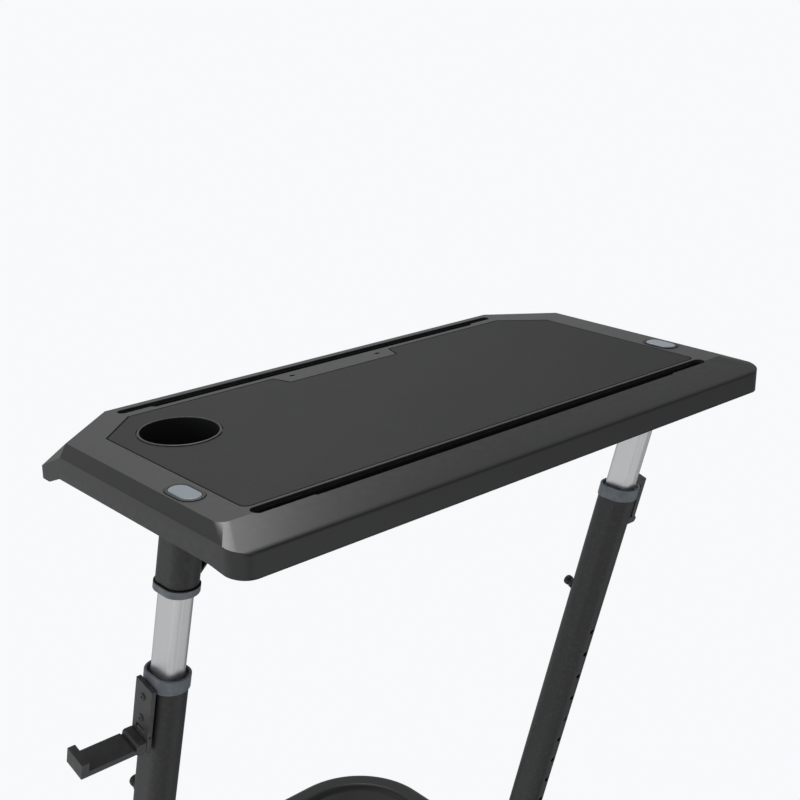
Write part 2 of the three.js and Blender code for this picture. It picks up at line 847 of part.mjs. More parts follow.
// Collar: an open-topped cap over the lower tube whose long guide runs down inside it.
function lowerCollar(sign) {
  const bottom = collarTop + collarHeight;
  const cap = levelSlice(obround(collarWidth, collarLength), collarTop, bottom);
  const rimBore = obround(collarWidth - 2 * collarRimWall, collarLength - 2 * collarRimWall);
  const recess = levelSlice(rimBore, collarTop - cutOverrun, collarTop + collarRimDepth);
  const seatStart = collarTop + collarRimDepth + collarFloor;
  const tubeSeat = levelSlice(obround(lowerTubeWidth + 2 * seatGap, lowerTubeLength + 2 * seatGap),
    lowerTubeStart - seatGap, bottom + cutOverrun);
  const guideWidth = lowerTubeWidth - 2 * lowerTubeWall - 2 * seatGap;
  const guideRun = lowerTubeLength - 2 * lowerTubeWall - 2 * seatGap;
  const guide = levelSlice(obround(guideWidth, guideRun), seatStart - collarFloor / 2,
    seatStart + guideLength);
  const bore = prismZ(innerTubeOutline(-guideGap), -bottom * 2, deskDepth);
  const notch = rectangle(tongueNotchWidth, tongueNotchWidth, 0, sign * tongueNotchX, -innerTubeLength / 2);
  const notchCut = levelSlice(notch, collarTop - cutOverrun, seatStart + cutOverrun);
  return cap.subtract(recess).subtract(tubeSeat).add(guide).subtract(bore).subtract(notchCut);
}

// Plug in the foot of the inner tube, slotted for the detent and bored for the push rod.
function detentPlug() {
  const station = restStation();
  const top = station - plugHeight / 2;
  const bottom = station + plugHeight / 2;
  const body = prismZ(innerTubeOutline(innerTubeWall + seatGap), -bottom, -top);
  const foot = prismZ(innerTubeOutline(0), -innerTubeEnd - plugShoulder, -innerTubeEnd - seatGap);
  const neck = prismZ(innerTubeOutline(innerTubeWall + seatGap), -innerTubeEnd - plugShoulder,
    -bottom + nearNothing);
  const track = rectangle(detentBodyWidth + 2 * slideGap, detentBodyHeight + 2 * slideGap, 0, 0, -station);
  const cuts = [
    prismY(track, -innerTubeLength, detentRear + detentTravel + slideGap * 2),
    prismZ(circle(rodDiameter + 2 * slideGap), -station, -top + cutOverrun),
  ];
  return joined([body, foot, neck]).subtract(joined(cuts));
}

// Detent slider: a round nose for the height holes and a ramp that the push rod bears on.
function detentPin() {
  const station = restStation();
  const nose = -lowerTubeLength / 2 + lowerTubeWall + detentNoseGap;
  const shoulder = -innerTubeLength / 2 + innerTubeWall + detentSetback;
  const half = detentBodyHeight / 2;
  const ramp = rodWedgeHalf + detentTravel + slideGap;
  const body = outline([
    [shoulder, -station - half],
    [detentRear, -station - half],
    [detentRear, -station + half],
    [half, -station + half],
    [-ramp, -station - ramp],
    [-ramp, -station + half],
    [shoulder, -station + half],
  ]);
  const slider = prismX(body, -detentBodyWidth / 2, detentBodyWidth / 2);
  const tip = prismY(circle(detentNoseWidth, 0, -station), nose, shoulder + nearNothing, smallFacets / 2);
  return slider.add(tip);
}

// Push rod from the button down to the detent, with a 45 degree foot.
function pushRod() {
  const footZ = -restStation() + slideGap;
  const buttonFoot = buttonBody + buttonLedgeWidth / 2 + slideGap + rodDiameter / 2 * stationBack;
  const rodTop = (legTopDrop - buttonFoot) / stationDrop;
  const rod = rodZ(rodDiameter, footZ - rodDiameter, rodTop);
  const reach = rodDiameter * 2;
  const foot = outline([
    [-reach, footZ - reach],
    [reach, footZ + reach],
    [reach, footZ - reach * 2],
    [-reach, footZ - reach * 2],
  ].reverse());
  return rod.subtract(prismX(foot, -reach, reach));
}

// Clamp lever: round boss, flat arm and a finger that reaches the sleeve's foot.
function clampLever(sign) {
  const inner = -sign * (sleeveWidth / 2 + leverStandoff);
  const face = inner - sign * leverThickness;
  const arm = outline([
    [leverY - leverWidth / 2, -leverStart, leverThickness],
    [leverY - leverWidth / 2, -leverPivotStation - leverBossDiameter / 2],
    [leverY - leverThickness, -leverEnd, leverThickness / 2],
    [leverY + leverThickness, -leverEnd, leverThickness / 2],
    [leverY + leverWidth / 2, -leverPivotStation, leverThickness],
    [leverY + leverWidth / 2, -leverStart, leverThickness],
  ]);
  const low = Math.min(inner, face);
  const plate = prismX(arm, low, low + leverThickness);
  const boss = circle(leverBossDiameter, leverY, -leverPivotStation);
  const bossOut = inner - sign * leverBossHeight;
  const bossLow = Math.min(inner, bossOut);
  const hub = prismX(boss, bossLow, bossLow + leverBossHeight, roundFacets / 2);
  const bore = circle(leverPivotDiameter + 2 * axleGap, leverY, -leverPivotStation);
  return plate.add(hub).subtract(prismX(bore, -sleeveWidth * 2, sleeveWidth * 2, roundFacets / 2));
}

function leverPin(sign) {
  const seat = -sign * (sleeveWidth / 2 + seatGap);
  const end = -sign * (sleeveWidth / 2 + leverStandoff + leverBossHeight);
  const head = end - sign * leverThickness / 2;
  const shank = circle(leverPivotDiameter, leverY, -leverPivotStation);
  const cap = circle(leverPivotDiameter * 2, leverY, -leverPivotStation);
  const washer = circle(leverPivotDiameter * 2, leverY, -leverPivotStation);
  const bossFace = -sign * (sleeveWidth / 2 + leverStandoff - seatGap);
  const low = Math.min(seat, end - sign * seatGap);
  const high = Math.max(seat, end - sign * seatGap);
  return joined([
    prismX(shank, low, high, roundFacets / 2),
    prismX(cap, Math.min(end - sign * seatGap, head), Math.max(end - sign * seatGap, head), roundFacets / 2),
    prismX(washer, Math.min(seat, bossFace), Math.max(seat, bossFace), roundFacets / 2),
  ]);
}

// Pull knob: waisted grip outside and a plain plunger that bears on the inner tube.
function pullKnob() {
  const outer = lowerTubeLength / 2 + knobHousingHeight + knobGap;
  const tip = innerTubeLength / 2 + knobGap;
  const radius = knobDiameter / 2;
  const stem = knobStem / 2;
  const third = knobHeight / 3;
  const profile = [
    [0, tip],
    [stem - knobGap, tip],
    [stem, tip + knobGap],
    [stem, outer],
    [radius - knobWaist, outer],
    [radius - knobWaist, outer + third / 2],
    [radius, outer + third],
    [radius, outer + 2 * third],
    [radius - knobWaist, outer + knobHeight - knobShoulder],
    [radius - 2 * knobWaist, outer + knobHeight],
    [0, outer + knobHeight],
  ];
  return revolved(profile, roundFacets).rotate([-90, 0, 0]).translate([0, 0, -knobStation]);
}

function outwardOutline(sign, points) {
  const turned = points.map(([out, station, radius = 0]) => [sign * out, -station, radius]);
  return outline(sign > 0 ? turned : turned.reverse());
}

function hookPlate(sign) {
  const inner = hookPlateOffset;
  const outer = inner + hookPlateThickness;
  const low = hookY - hookWidth / 2;
  const high = hookY + hookWidth / 2;
  const plate = prismY(outwardOutline(sign, [
    [inner, hookPlateEnd], [outer, hookPlateEnd], [outer, hookPlateStart], [inner, hookPlateStart]]),
    low, high);
  const spacers = hookScrewStations.map((station) => {
    const near = lowerTubeWidth / 2 + seatGap;
    const spacer = circle(hookSpacerDiameter, hookY, -station);
    const start = sign > 0 ? near : -inner - nearNothing;
    return prismX(spacer, start, start + inner - near + nearNothing, roundFacets / 2);
  });
  const slotTop = hookPivotStation - hookTongueRadius - hookSlotRise;
  const slotWidth = hookTongueWidth + 2 * seatGap;
  const slot = rectangle(slotWidth, hookPlateEnd - slotTop + cutOverrun, 0, hookY,
    -(slotTop + hookPlateEnd + cutOverrun) / 2);
  const pivot = circle(hookPinDiameter + 2 * seatGap, sign * hookPivotOut(), -hookPivotStation);
  const cuts = [
    prismX(slot, -outer * 2, outer * 2),
    prismY(pivot, low - cutOverrun, high + cutOverrun, smallFacets / 2),
  ];
  for (const station of hookScrewStations) {
    cuts.push(prismX(circle(hookScrewShank + 2 * seatGap, hookY, -station), -outer * 2, outer * 2,
      smallFacets / 2));
  }
  return plate.add(joined(spacers)).subtract(joined(cuts));
}

function hookPivotOut() {
  return hookPlateOffset + hookPlateThickness / 2;
}

// Hook arm, drawn lowered: tongue on the pin, stop block, grooved arm and upturned lip.
function hookArm(sign) {
  const pivotOut = hookPivotOut();
  const outer = hookPlateOffset + hookPlateThickness + seatGap;
  const armBottom = hookArmTop + hookArmThickness;
  const blockOut = outer + hookBlockReach;
  const blockBottom = armBottom + hookBlockDrop;
  const lipIn = hookReach - hookLipThickness;
  const arm = outwardOutline(sign, [
    [outer, blockBottom - hookBlockDrop / 2],
    [outer + hookBlockDrop, blockBottom],
    [blockOut - hookBlockDrop, blockBottom],
    [blockOut, armBottom],
    [hookReach, armBottom],
    [hookReach, hookArmTop - hookLipRise],
    [lipIn, hookArmTop - hookLipRise],
    [lipIn, hookArmTop],
    [blockOut + hookGrooveWidth, hookArmTop],
    [blockOut + hookGrooveWidth, hookArmTop + hookGrooveDepth],
    [blockOut, hookArmTop + hookGrooveDepth],
    [blockOut, hookBlockTop + hookBlockDrop / 2],
    [blockOut - hookBlockDrop / 2, hookBlockTop],
    [outer, hookBlockTop],
  ]);
  const tongue = outwardOutline(sign, [
    [pivotOut - hookTongueRadius, blockBottom - hookBlockDrop / 2 - hookBlockDrop],
    [pivotOut + nearNothing, blockBottom - hookBlockDrop / 2],
    [outer + hookBlockDrop, blockBottom - hookBlockDrop / 2],
    [outer + hookBlockDrop, hookBlockTop + hookBlockDrop / 4],
    [outer, hookBlockTop + hookBlockDrop / 4],
    [pivotOut + hookTongueRadius, hookPivotStation],
    [pivotOut - hookTongueRadius, hookPivotStation],
  ]);
  const barrel = circle(2 * hookTongueRadius, sign * pivotOut, -hookPivotStation);
  const solid = joined([
    prismY(arm, hookY - hookWidth / 2, hookY + hookWidth / 2),
    prismY(tongue, hookY - hookTongueWidth / 2, hookY + hookTongueWidth / 2),
    prismY(barrel, hookY - hookTongueWidth / 2, hookY + hookTongueWidth / 2, roundFacets / 2),
  ]);
  const bore = circle(hookPinDiameter + 2 * axleGap, sign * pivotOut, -hookPivotStation);
  return solid.subtract(prismY(bore, hookY - hookWidth, hookY + hookWidth, roundFacets / 2));
}

function hookPin(sign) {
  const pin = circle(hookPinDiameter, sign * hookPivotOut(), -hookPivotStation);
  return prismY(pin, hookY - hookPinLength / 2, hookY + hookPinLength / 2, roundFacets / 2);
}

function hookScrew(sign, station) {
  const face = hookPlateOffset + hookPlateThickness + seatGap;
  const near = lowerTubeWidth / 2 + seatGap;
  const span = (shape, from, to, facets) => {
    const start = sign > 0 ? from : -to;
    return prismX(shape, start, start + to - from, facets);
  };
  const head = span(circle(hookScrewHead, hookY, -station), face, face + hookScrewRise, roundFacets / 2);
  const shank = span(circle(hookScrewShank, hookY, -station), near, face + nearNothing, smallFacets / 2);
  const socket = span(circle(hookScrewSocket, hookY, -station),
    face + hookScrewRise - hookScrewSocketDepth, face + hookScrewRise + cutOverrun, hexFacets);
  return head.add(shank).subtract(socket);
}

for (const { name, sign } of sides) {
  const leg = legFrame(sign);
  const level = new THREE.Group();
  level.rotation.x = -legTilt;
  leg.add(level);
  place(`leg_bracket_${name}`, legBracket(), 'tube', level);
  place(`sleeve_${name}`, sleeve(), 'tube', leg);
  place(`sleeve_collar_${name}`, sleeveCollar(), 'collar', leg);
  place(`inner_tube_${name}`, innerTube(), 'silver', leg);
  place(`detent_plug_${name}`, detentPlug(), 'dark', leg);
  place(`detent_pin_${name}`, detentPin(), 'steel', leg);
  place(`push_rod_${name}`, pushRod(), 'steel', leg);
  place(`clamp_lever_${name}`, clampLever(sign), 'dark', leg);
  place(`lever_pin_${name}`, leverPin(sign), 'steel', leg);
  place(`lower_tube_${name}`, lowerTube(), 'tube', leg);
  place(`lower_collar_${name}`, lowerCollar(sign), 'collar', leg);
  place(`pull_knob_${name}`, pullKnob(), 'dark', leg);
  place(`hook_plate_${name}`, hookPlate(sign), 'hook', leg);
  place(`hook_pin_${name}`, hookPin(sign), 'steel', leg);
  hookScrewStations.forEach((station, index) => {
    place(`hook_screw_${name}_${index + 1}`, hookScrew(sign, station), 'hook', leg);
  });
  const folded = sign > 0;
  const hook = new THREE.Group();
  hook.position.set(sign * hookPivotOut(), 0, -hookPivotStation);
  hook.rotation.y = folded ? -Math.PI / 2 : 0;
  leg.add(hook);
  const arm = place(`hook_arm_${name}`, hookArm(sign), 'hook', hook);
  arm.position.set(-sign * hookPivotOut(), 0, hookPivotStation);
}

// Floor frame

const frameMiddle = frameBottom + frameTubeHeight / 2;

// Route of the frame tube's centre line, seen from above, from the left foot round to the right.
function frameRoute() {
  const bendX = legX - frameBendRadius;
  const farY = frameFarY - frameTubeWidth / 2;
  const bendY = farY - frameBendRadius;
  const points = [new THREE.Vector2(-legX, frameNearY)];
  for (const side of [-1, 1]) {
    for (let i = 0; i <= frameBendSteps; i += 1) {
      const share = side < 0 ? i / frameBendSteps : 1 - i / frameBendSteps;
      const angle = share * Math.PI / 2;
      points.push(new THREE.Vector2(
        side * (bendX + frameBendRadius * Math.cos(angle)),
        bendY + frameBendRadius * Math.sin(angle)));
    }
  }
  points.push(new THREE.Vector2(legX, frameNearY));
  return points;
}

// Sweep of a section along a level route, mitred at each point.
function swept(section, route, overrun) {
  const ringSize = section.length;
  const positions = [];
  route.forEach((point, i) => {
    const before = route[Math.max(i - 1, 0)];
    const after = route[Math.min(i + 1, route.length - 1)];
    const arriving = point.clone().sub(before).normalize();
    const leaving = after.clone().sub(point).normalize();
    const tangent = arriving.clone().add(leaving).normalize();
    const bend = i > 0 && i < route.length - 1 ? arriving.dot(tangent) : 1;
    const across = new THREE.Vector2(tangent.y, -tangent.x).multiplyScalar(1 / bend);
    const end = i === 0 ? -overrun : i === route.length - 1 ? overrun : 0;
    for (const corner of section) {
      positions.push(
        point.x + across.x * corner.x + tangent.x * end,
        point.y + across.y * corner.x + tangent.y * end,
        frameMiddle + corner.y);
    }
  });
  const faces = [];
  for (let ring = 0; ring < route.length - 1; ring += 1) {
    for (let i = 0; i < ringSize; i += 1) {
      const a = ring * ringSize + i;
      const b = ring * ringSize + (i + 1) % ringSize;
      faces.push(a, b + ringSize, b, a, a + ringSize, b + ringSize);
    }
  }
  const last = (route.length - 1) * ringSize;
  for (const [a, b, c] of THREE.ShapeUtils.triangulateShape(section, [])) {
    faces.push(a, b, c, last + a, last + c, last + b);
  }
  const geometry = new THREE.BufferGeometry();
  geometry.setAttribute('position', new THREE.Float32BufferAttribute(positions, 3));
  geometry.setIndex(faces);
  return solidOf(geometry);
}

function frameSection(inset, facets) {
  const shape = rectangle(frameTubeWidth - 2 * inset, frameTubeHeight - 2 * inset, frameTubeRadius - inset,
    0, 0, facets);
  const points = shape.getPoints();
  const unique = points.filter((point, i) => i === 0 || point.distanceTo(points[i - 1]) > nearNothing);
  if (unique[0].distanceTo(unique[unique.length - 1]) < nearNothing) {
    unique.pop();
  }
  return THREE.ShapeUtils.isClockWise(unique) ? unique.reverse() : unique;
}

function placedOnLeg(solid, sign) {
  return solid.rotate([THREE.MathUtils.radToDeg(legTilt), 0, 0])
    .translate([sign * legX, legTopY, deskHeight - legTopDrop]);
}

// Short oval collar welded on the frame that takes the foot of a lower tube.
function legSocket(sign) {
  const foot = legFootStation;
  const outerWidth = lowerTubeWidth + 2 * (socketWall + seatGap);
  const outerLength = lowerTubeLength + 2 * (socketWall + seatGap);
  const body = levelSlice(obround(outerWidth, outerLength), foot - socketHeight, foot + frameTubeWall / 2);
  const bore = levelSlice(obround(lowerTubeWidth + 2 * seatGap, lowerTubeLength + 2 * seatGap),
    foot - socketHeight - cutOverrun, foot - seatGap);
  const boltHole = prismX(circle(boltDiameter + 2 * seatGap, 0, -socketBoltStation),
    -outerWidth, outerWidth, smallFacets / 2);
  return placedOnLeg(body.subtract(bore).subtract(boltHole), sign);
}

const casterSpots = [
  { name: 'near_left', x: -legX, y: nearCasterY, brake: true },
  { name: 'near_right', x: legX, y: nearCasterY, brake: true },
  { name: 'far_left', x: -farCasterX, y: frameFarY - frameTubeWidth / 2, brake: false },
  { name: 'far_right', x: farCasterX, y: frameFarY - frameTubeWidth / 2, brake: false },
];

function baseFrame() {
  const route = frameRoute();
  const outside = swept(frameSection(0, cornerFacets), route, 0);
  const inside = swept(frameSection(frameTubeWall, 1), route, cutOverrun);
  let frame = outside.subtract(inside);
  for (const { sign } of sides) {
    frame = frame.add(legSocket(sign));
  }
  for (const { x, y } of casterSpots) {
    const hole = rodZ(casterStemDiameter + 2 * seatGap, frameBottom - cutOverrun, frameMiddle,
      roundFacets, x, y);
    const race = rodZ(casterRaceDiameter, frameBottom - casterRaceHeight, frameBottom + nearNothing,
      roundFacets, x, y);
    frame = frame.add(race).subtract(hole);
  }
  return frame;
}

function endCap(sign) {
  const x = sign * legX;
  const face = rectangle(frameTubeWidth, frameTubeHeight, frameTubeRadius, x, frameMiddle);
  const inset = frameTubeWall + seatGap;
  const plug = rectangle(frameTubeWidth - 2 * inset, frameTubeHeight - 2 * inset,
    frameTubeRadius - inset, x, frameMiddle, 1);
  const front = frameNearY - seatGap;
  return prismY(face, front - capThickness, front, smallFacets / 2)
    .add(prismY(plug, front - nearNothing, front + capPlugDepth, smallFacets / 2));
}

function legBolt() {
  const outer = lowerTubeWidth / 2 + seatGap + socketWall + seatGap;
  const shank = prismX(circle(boltDiameter, 0, -socketBoltStation), -outer, outer, smallFacets / 2);
  const hexagon = circle(boltHeadDiameter, 0, -socketBoltStation);
  const head = prismX(hexagon, outer, outer + boltHeadHeight, hexFacets);
  const nut = prismX(hexagon, -outer - boltHeadHeight, -outer, hexFacets);
  return joined([shank, head, nut]);
}

place('base_frame', baseFrame(), 'tube', model);
for (const { name, sign } of sides) {
  place(`base_end_cap_${name}`, endCap(sign), 'dark', model);
  place(`leg_bolt_${name}`, placedOnLeg(legBolt(), sign), 'steel', model);
}

// Casters. Each is drawn with its stem on the Z axis, trailing towards the rider.

const wheelRadius = wheelDiameter / 2;

function casterWheel() {
  const half = wheelWidth / 2;
  const bore = axleDiameter / 2 + axleGap;
  const web = wheelRadius * wheelWebRadiusShare;
  const flat = half - wheelTreadRadius;
  const arc = (sign) => {
    const points = [];
    for (let i = 0; i <= treadFacets; i += 1) {
      const angle = (i / treadFacets) * Math.PI / 2;
      const around = sign > 0 ? Math.PI / 2 - angle : angle;
      points.push([
        wheelRadius - wheelTreadRadius + wheelTreadRadius * Math.sin(around),
        sign * (flat + wheelTreadRadius * Math.cos(around))]);
    }
    return points;
  };
  const profile = [
    [bore, -half + wheelRecess],
    [web, -half + wheelRecess],
    [web, -half],
    ...arc(-1),
    ...arc(1),
    [web, half],
    [web, half - wheelRecess],
    [bore, half - wheelRecess],
    [bore, -half + wheelRecess],
  ];
  return revolved(profile, wheelFacets).rotate([0, 90, 0]).translate([0, -casterTrail, wheelRadius]);
}

function casterFork() {
  const crownTop = frameBottom - casterRaceHeight - casterPlateGap;
  const crownBottom = crownTop - forkCrownThickness;
  const axleY = -casterTrail;
  const cheek = outline([
    [axleY - forkNose / 2, wheelRadius - forkNose / 2, forkNose / 2 - nearNothing],
    [axleY + forkNose / 2, wheelRadius - forkNose / 2, forkNose / 2 - nearNothing],
    [casterRaceDiameter / 2, crownBottom - forkCrownThickness],
    [casterRaceDiameter / 2, crownTop],
    [axleY - forkNose / 2, crownTop, forkNose / 2],
  ]);
  const inner = forkInner / 2;
  const outer = inner + forkWall;
  const crown = rectangle(2 * outer, casterRaceDiameter / 2 + forkNose / 2 - axleY, 0, 0,
    (casterRaceDiameter / 2 + axleY - forkNose / 2) / 2);
  const cheeks = prismX(cheek, -outer, outer).subtract(
    prismX(rectangle(deskDepth, crownBottom * 2, 0, 0, 0), -inner, inner));
  const roof = prismX(cheek, -outer, outer).intersect(prismZ(crown, crownBottom, crownTop));
  const axle = prismX(circle(axleDiameter, axleY, wheelRadius), -inner - nearNothing,
    inner + nearNothing, roundFacets / 2);
  const stem = rodZ(casterStemDiameter, crownTop - nearNothing, frameBottom + casterStemLength, roundFacets);
  return joined([cheeks, roof, axle, stem]);
}

// Brake pedal behind the wheel, pivoting between the fork's cheeks.
function brakePedal() {
  const y = -casterTrail - pedalPivotBack - forkNose / 2;
  const z = wheelRadius + pedalPivotRise;
  const pad = outline([
    [y - pedalLength / 2, z - pedalThickness],
    [y + pedalThickness, z],
    [y + pedalThickness, z + pedalThickness],
    [y - pedalLength / 2, z],
  ]);
  const outer = forkInner / 2 + forkWall + seatGap;
  const ear = outline([
    [y, z],
    [y, z + pedalThickness],
    [-casterTrail, z + pedalThickness + pedalPivotDiameter / 2],
    [-casterTrail, z],
  ]);
  const ears = prismX(ear, -outer - pedalThickness, outer + pedalThickness)
    .subtract(prismX(rectangle(deskDepth, deskDepth), -outer, outer));
  const plate = prismX(pad, -outer - pedalThickness, outer + pedalThickness);
  return plate.add(ears);
}

for (const { name, x, y, brake } of casterSpots) {
  const caster = new THREE.Group();
  caster.position.set(x, y, 0);
  model.add(caster);
  place(`caster_fork_${name}`, casterFork(), 'dark', caster);
  place(`caster_wheel_${name}`, casterWheel(), 'tread', caster);
  if (brake) {
    place(`brake_pedal_${name}`, brakePedal(), 'collar', caster);
  }
}

// The origin lies on the floor, under the middle of the whole desk's box.
model.updateMatrixWorld(true);
const box = new THREE.Box3().setFromObject(model, true);
const middle = box.getCenter(new THREE.Vector3());
model.position.set(-middle.x, -middle.y, -box.min.z);

export default model;
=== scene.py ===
"""Looks of a height-adjustable desk that rolls in over a bicycle on an indoor trainer.

Sizes are millimetres in each sub-assembly's own drawing frame and become metres when a piece is
made. The row frame is +X to the rider's right, +Y away from the rider and +Z up.
"""

import logging
import math
from dataclasses import dataclass
from enum import Enum
from functools import cached_property
from typing import Callable, Optional, Sequence, Union

import bmesh
import bpy
from mathutils import Matrix, Vector


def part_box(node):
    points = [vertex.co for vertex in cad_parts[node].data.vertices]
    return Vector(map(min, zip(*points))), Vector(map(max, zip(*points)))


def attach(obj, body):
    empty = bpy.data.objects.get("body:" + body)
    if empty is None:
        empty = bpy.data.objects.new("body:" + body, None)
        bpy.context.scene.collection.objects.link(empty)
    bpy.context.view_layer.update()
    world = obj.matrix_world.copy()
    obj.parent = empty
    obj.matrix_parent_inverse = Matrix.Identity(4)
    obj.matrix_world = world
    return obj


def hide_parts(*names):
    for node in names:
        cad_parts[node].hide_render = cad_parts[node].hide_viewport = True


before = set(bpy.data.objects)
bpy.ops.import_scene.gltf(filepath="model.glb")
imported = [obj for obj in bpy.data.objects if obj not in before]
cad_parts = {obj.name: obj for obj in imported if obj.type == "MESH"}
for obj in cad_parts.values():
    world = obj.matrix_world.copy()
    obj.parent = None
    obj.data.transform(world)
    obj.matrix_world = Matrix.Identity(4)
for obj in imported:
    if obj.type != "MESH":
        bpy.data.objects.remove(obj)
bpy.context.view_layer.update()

LOG = logging.getLogger("trainer_desk")
MM = 0.001
QUARTER = math.pi / 2
OVERRUN = 6.0
SHARP_TURN = math.radians(35)
SHADED_TURN = math.radians(32)
SHORTEST_EASED = 1.3
LEG_TILT = math.radians(14.7)
UP_THE_LEG = (0.0, -math.sin(LEG_TILT), math.cos(LEG_TILT))
ACROSS_THE_LEG = (0.0, math.cos(LEG_TILT), math.sin(LEG_TILT))
Corner = Sequence[float]
Triple = tuple[float, float, float]
Outline = Sequence[Vector]
Ring = Callable[[Outline, float], list[Vector]]
Value = Union["Wire", float, Corner]


# Shader arithmetic


class Wire:
    """A shader socket that takes part in Python arithmetic."""

    def __init__(self, bench: "Bench", socket: bpy.types.NodeSocket) -> None:
        """Keeps the socket and the bench that adds nodes to its tree."""
        self.bench, self.socket = bench, socket

    def _math(self, operation: str, *values: Value) -> "Wire":
        """Returns the value of a Math node with these inputs."""
        return self.bench.node("ShaderNodeMath", {"operation": operation}, dict(enumerate(values)))

    def __add__(self, other: Value) -> "Wire":
        """Returns the sum."""
        return self._math("ADD", self, other)

    def __sub__(self, other: Value) -> "Wire":
        """Returns the difference."""
        return self._math("SUBTRACT", self, other)

    def __rsub__(self, other: float) -> "Wire":
        """Returns the difference from a number."""
        return self._math("SUBTRACT", other, self)

    def __mul__(self, other: Value) -> "Wire":
        """Returns the product."""
        return self._math("MULTIPLY", self, other)

    __radd__, __rmul__ = __add__, __mul__

    def step(self, low: float, high: float) -> "Wire":
        """Returns a smooth rise from 0 at low to 1 at high."""
        return self.bench.node("ShaderNodeMapRange", {"interpolation_type": "SMOOTHSTEP"},
                               {"Value": self, "From Min": low, "From Max": high})


class Bench:
    """Adds nodes to the tree of one material or world."""

    def __init__(self, owner: Union[bpy.types.Material, bpy.types.World]) -> None:
        """Opens the tree of a new material or world, which holds one shader and one output."""
        owner.use_nodes = True
        self.owner, self.tree = owner, owner.node_tree
        self.output, self.shader = sorted(self.tree.nodes, key=lambda node: "OUTPUT" not in node.type)

    def node(self, kind: str, settings: dict, inputs: dict, output: Union[int, str] = 0) -> Wire:
        """Adds any node.

        Args:
            kind: The node's type.
            settings: Properties that are set before the sockets.
            inputs: Values or wires by socket name or index.
            output: The socket to return.

        Returns:
            The wire of that output.
        """
        made = self.tree.nodes.new(kind)
        for key, value in settings.items():
            setattr(made, key, value)
        for key, value in inputs.items():
            self.feed(made.inputs[key], value)
        return Wire(self, made.outputs[output])

    def feed(self, socket: bpy.types.NodeSocket, value: Value) -> None:
        """Links a wire to a socket, or sets the socket's own value.

        Args:
            socket: The input socket.
            value: A wire, a number, a vector or a colour.
        """
        if isinstance(value, Wire):
            self.tree.links.new(value.socket, socket)
        else:
            socket.default_value = (*value, 1) if socket.type == "RGBA" else value

    def dress(self, inputs: dict[str, Value]) -> bpy.types.ID:
        """Feeds the shader.

        Args:
            inputs: Values or wires by socket name.

        Returns:
            The finished material or world.
        """
        for key, value in inputs.items():
            self.feed(self.shader.inputs[key], value)
        return self.owner

    @cached_property
    def point(self) -> Wire:
        """Returns the place in the piece's own frame, in metres."""
        return self.node("ShaderNodeTexCoord", {}, {}, "Object")

    def along(self, direction: Corner, point: Optional[Wire] = None) -> Wire:
        """Returns how far a point, or else the place on the piece, lies along a direction."""
        return self.node("ShaderNodeVectorMath", {"operation": "DOT_PRODUCT"},
                         {0: point or self.point, 1: direction}, "Value")

    def noise(self, cell: float, detail: float = 2.0, point: Optional[Wire] = None) -> Wire:
        """Returns noise from 0 to 1 whose features are about one cell wide, in millimetres."""
        return self.node("ShaderNodeTexNoise", {},
                         {"Vector": point or self.point, "Scale": 1 / (cell * MM), "Detail": detail})

    def edges(self) -> Wire:
        """Returns 0 on flat and hollow places, rising to 1 on outward edges."""
        return self.node("ShaderNodeNewGeometry", {}, {}, "Pointiness").step(0.505, 0.56)

    def blend(self, share: Value, low: Value, high: Value) -> Wire:
        """Returns a mix of two colours, from low at share 0 to high at share 1."""
        return self.node("ShaderNodeMix", {"data_type": "RGBA"}, {"Factor": share, 6: low, 7: high}, 2)

    def bump(self, height: Wire, depth: float) -> Wire:
        """Returns a normal for a height from 0 to 1 that stands depth millimetres proud."""
        return self.node("ShaderNodeBump", {}, {"Height": height, "Distance": depth * MM})


# Finishes


@dataclass(frozen=True)
class Surface:
    """What all finishes share."""

    name: str
    colour: Triple
    roughness: float

    def tone(self, factor: float) -> Triple:
        """Returns the colour made brighter or darker by a factor."""
        return tuple(channel * factor for channel in self.colour)

    def clouded(self, share: Wire, low: float, high: float) -> Wire:
        """Returns the colour varied between two factors."""
        return share.bench.blend(share, self.tone(low), self.tone(high))

    def sockets(self, bench: Bench) -> dict[str, Value]:
        """Returns the shader's inputs by socket name."""
        raise NotImplementedError

    def material(self) -> bpy.types.Material:
        """Returns the finish as a new material."""
        bench = Bench(bpy.data.materials.new(self.name))
        return bench.dress(self.sockets(bench))


@dataclass(frozen=True)
class Moulded(Surface):
    """Injection-moulded plastic with a fine spark-eroded grain and a painted highlight in patches along its
    outward edges.
    """

    grain: float = 0.55
    depth: float = 0.012
    mottle: float = 0.02
    # share and tone of the painted highlight on outward edges
    edge_highlight_share: float = 0.35
    edge_highlight_tone: float = 2.2
    reflectance: float = 0.5

    def with_painted_shade(self, base: Wire) -> Wire:
        """Returns the base colour as it is; MouldedShell paints shade lines here instead."""
        return base

    def sockets(self, bench: Bench) -> dict[str, Value]:
        """Mottles the plastic faintly and paints a highlight in patches on its outward edges.

        Args:
            bench: The material's bench.

        Returns:
            The shader's inputs.
        """
        cloud, grain = bench.noise(38.0, 3.0), bench.noise(self.grain, 2.5)
        # paler patches on outward edges: a painted highlight
        painted_edge_highlight = bench.edges() * bench.noise(9.0, 3.0).step(0.35, 0.7)
        base = self.clouded(cloud, 1 - self.mottle, 1 + self.mottle)
        highlighted = bench.blend(painted_edge_highlight * self.edge_highlight_share, base, self.tone(self.edge_highlight_tone))
        return {"Base Color": self.with_painted_shade(highlighted), "Normal": bench.bump(grain, self.depth),
                "Roughness": cloud * 0.03 + (grain - 0.5) * 0.06 + (self.roughness - 0.015),
                "Specular IOR Level": self.reflectance}


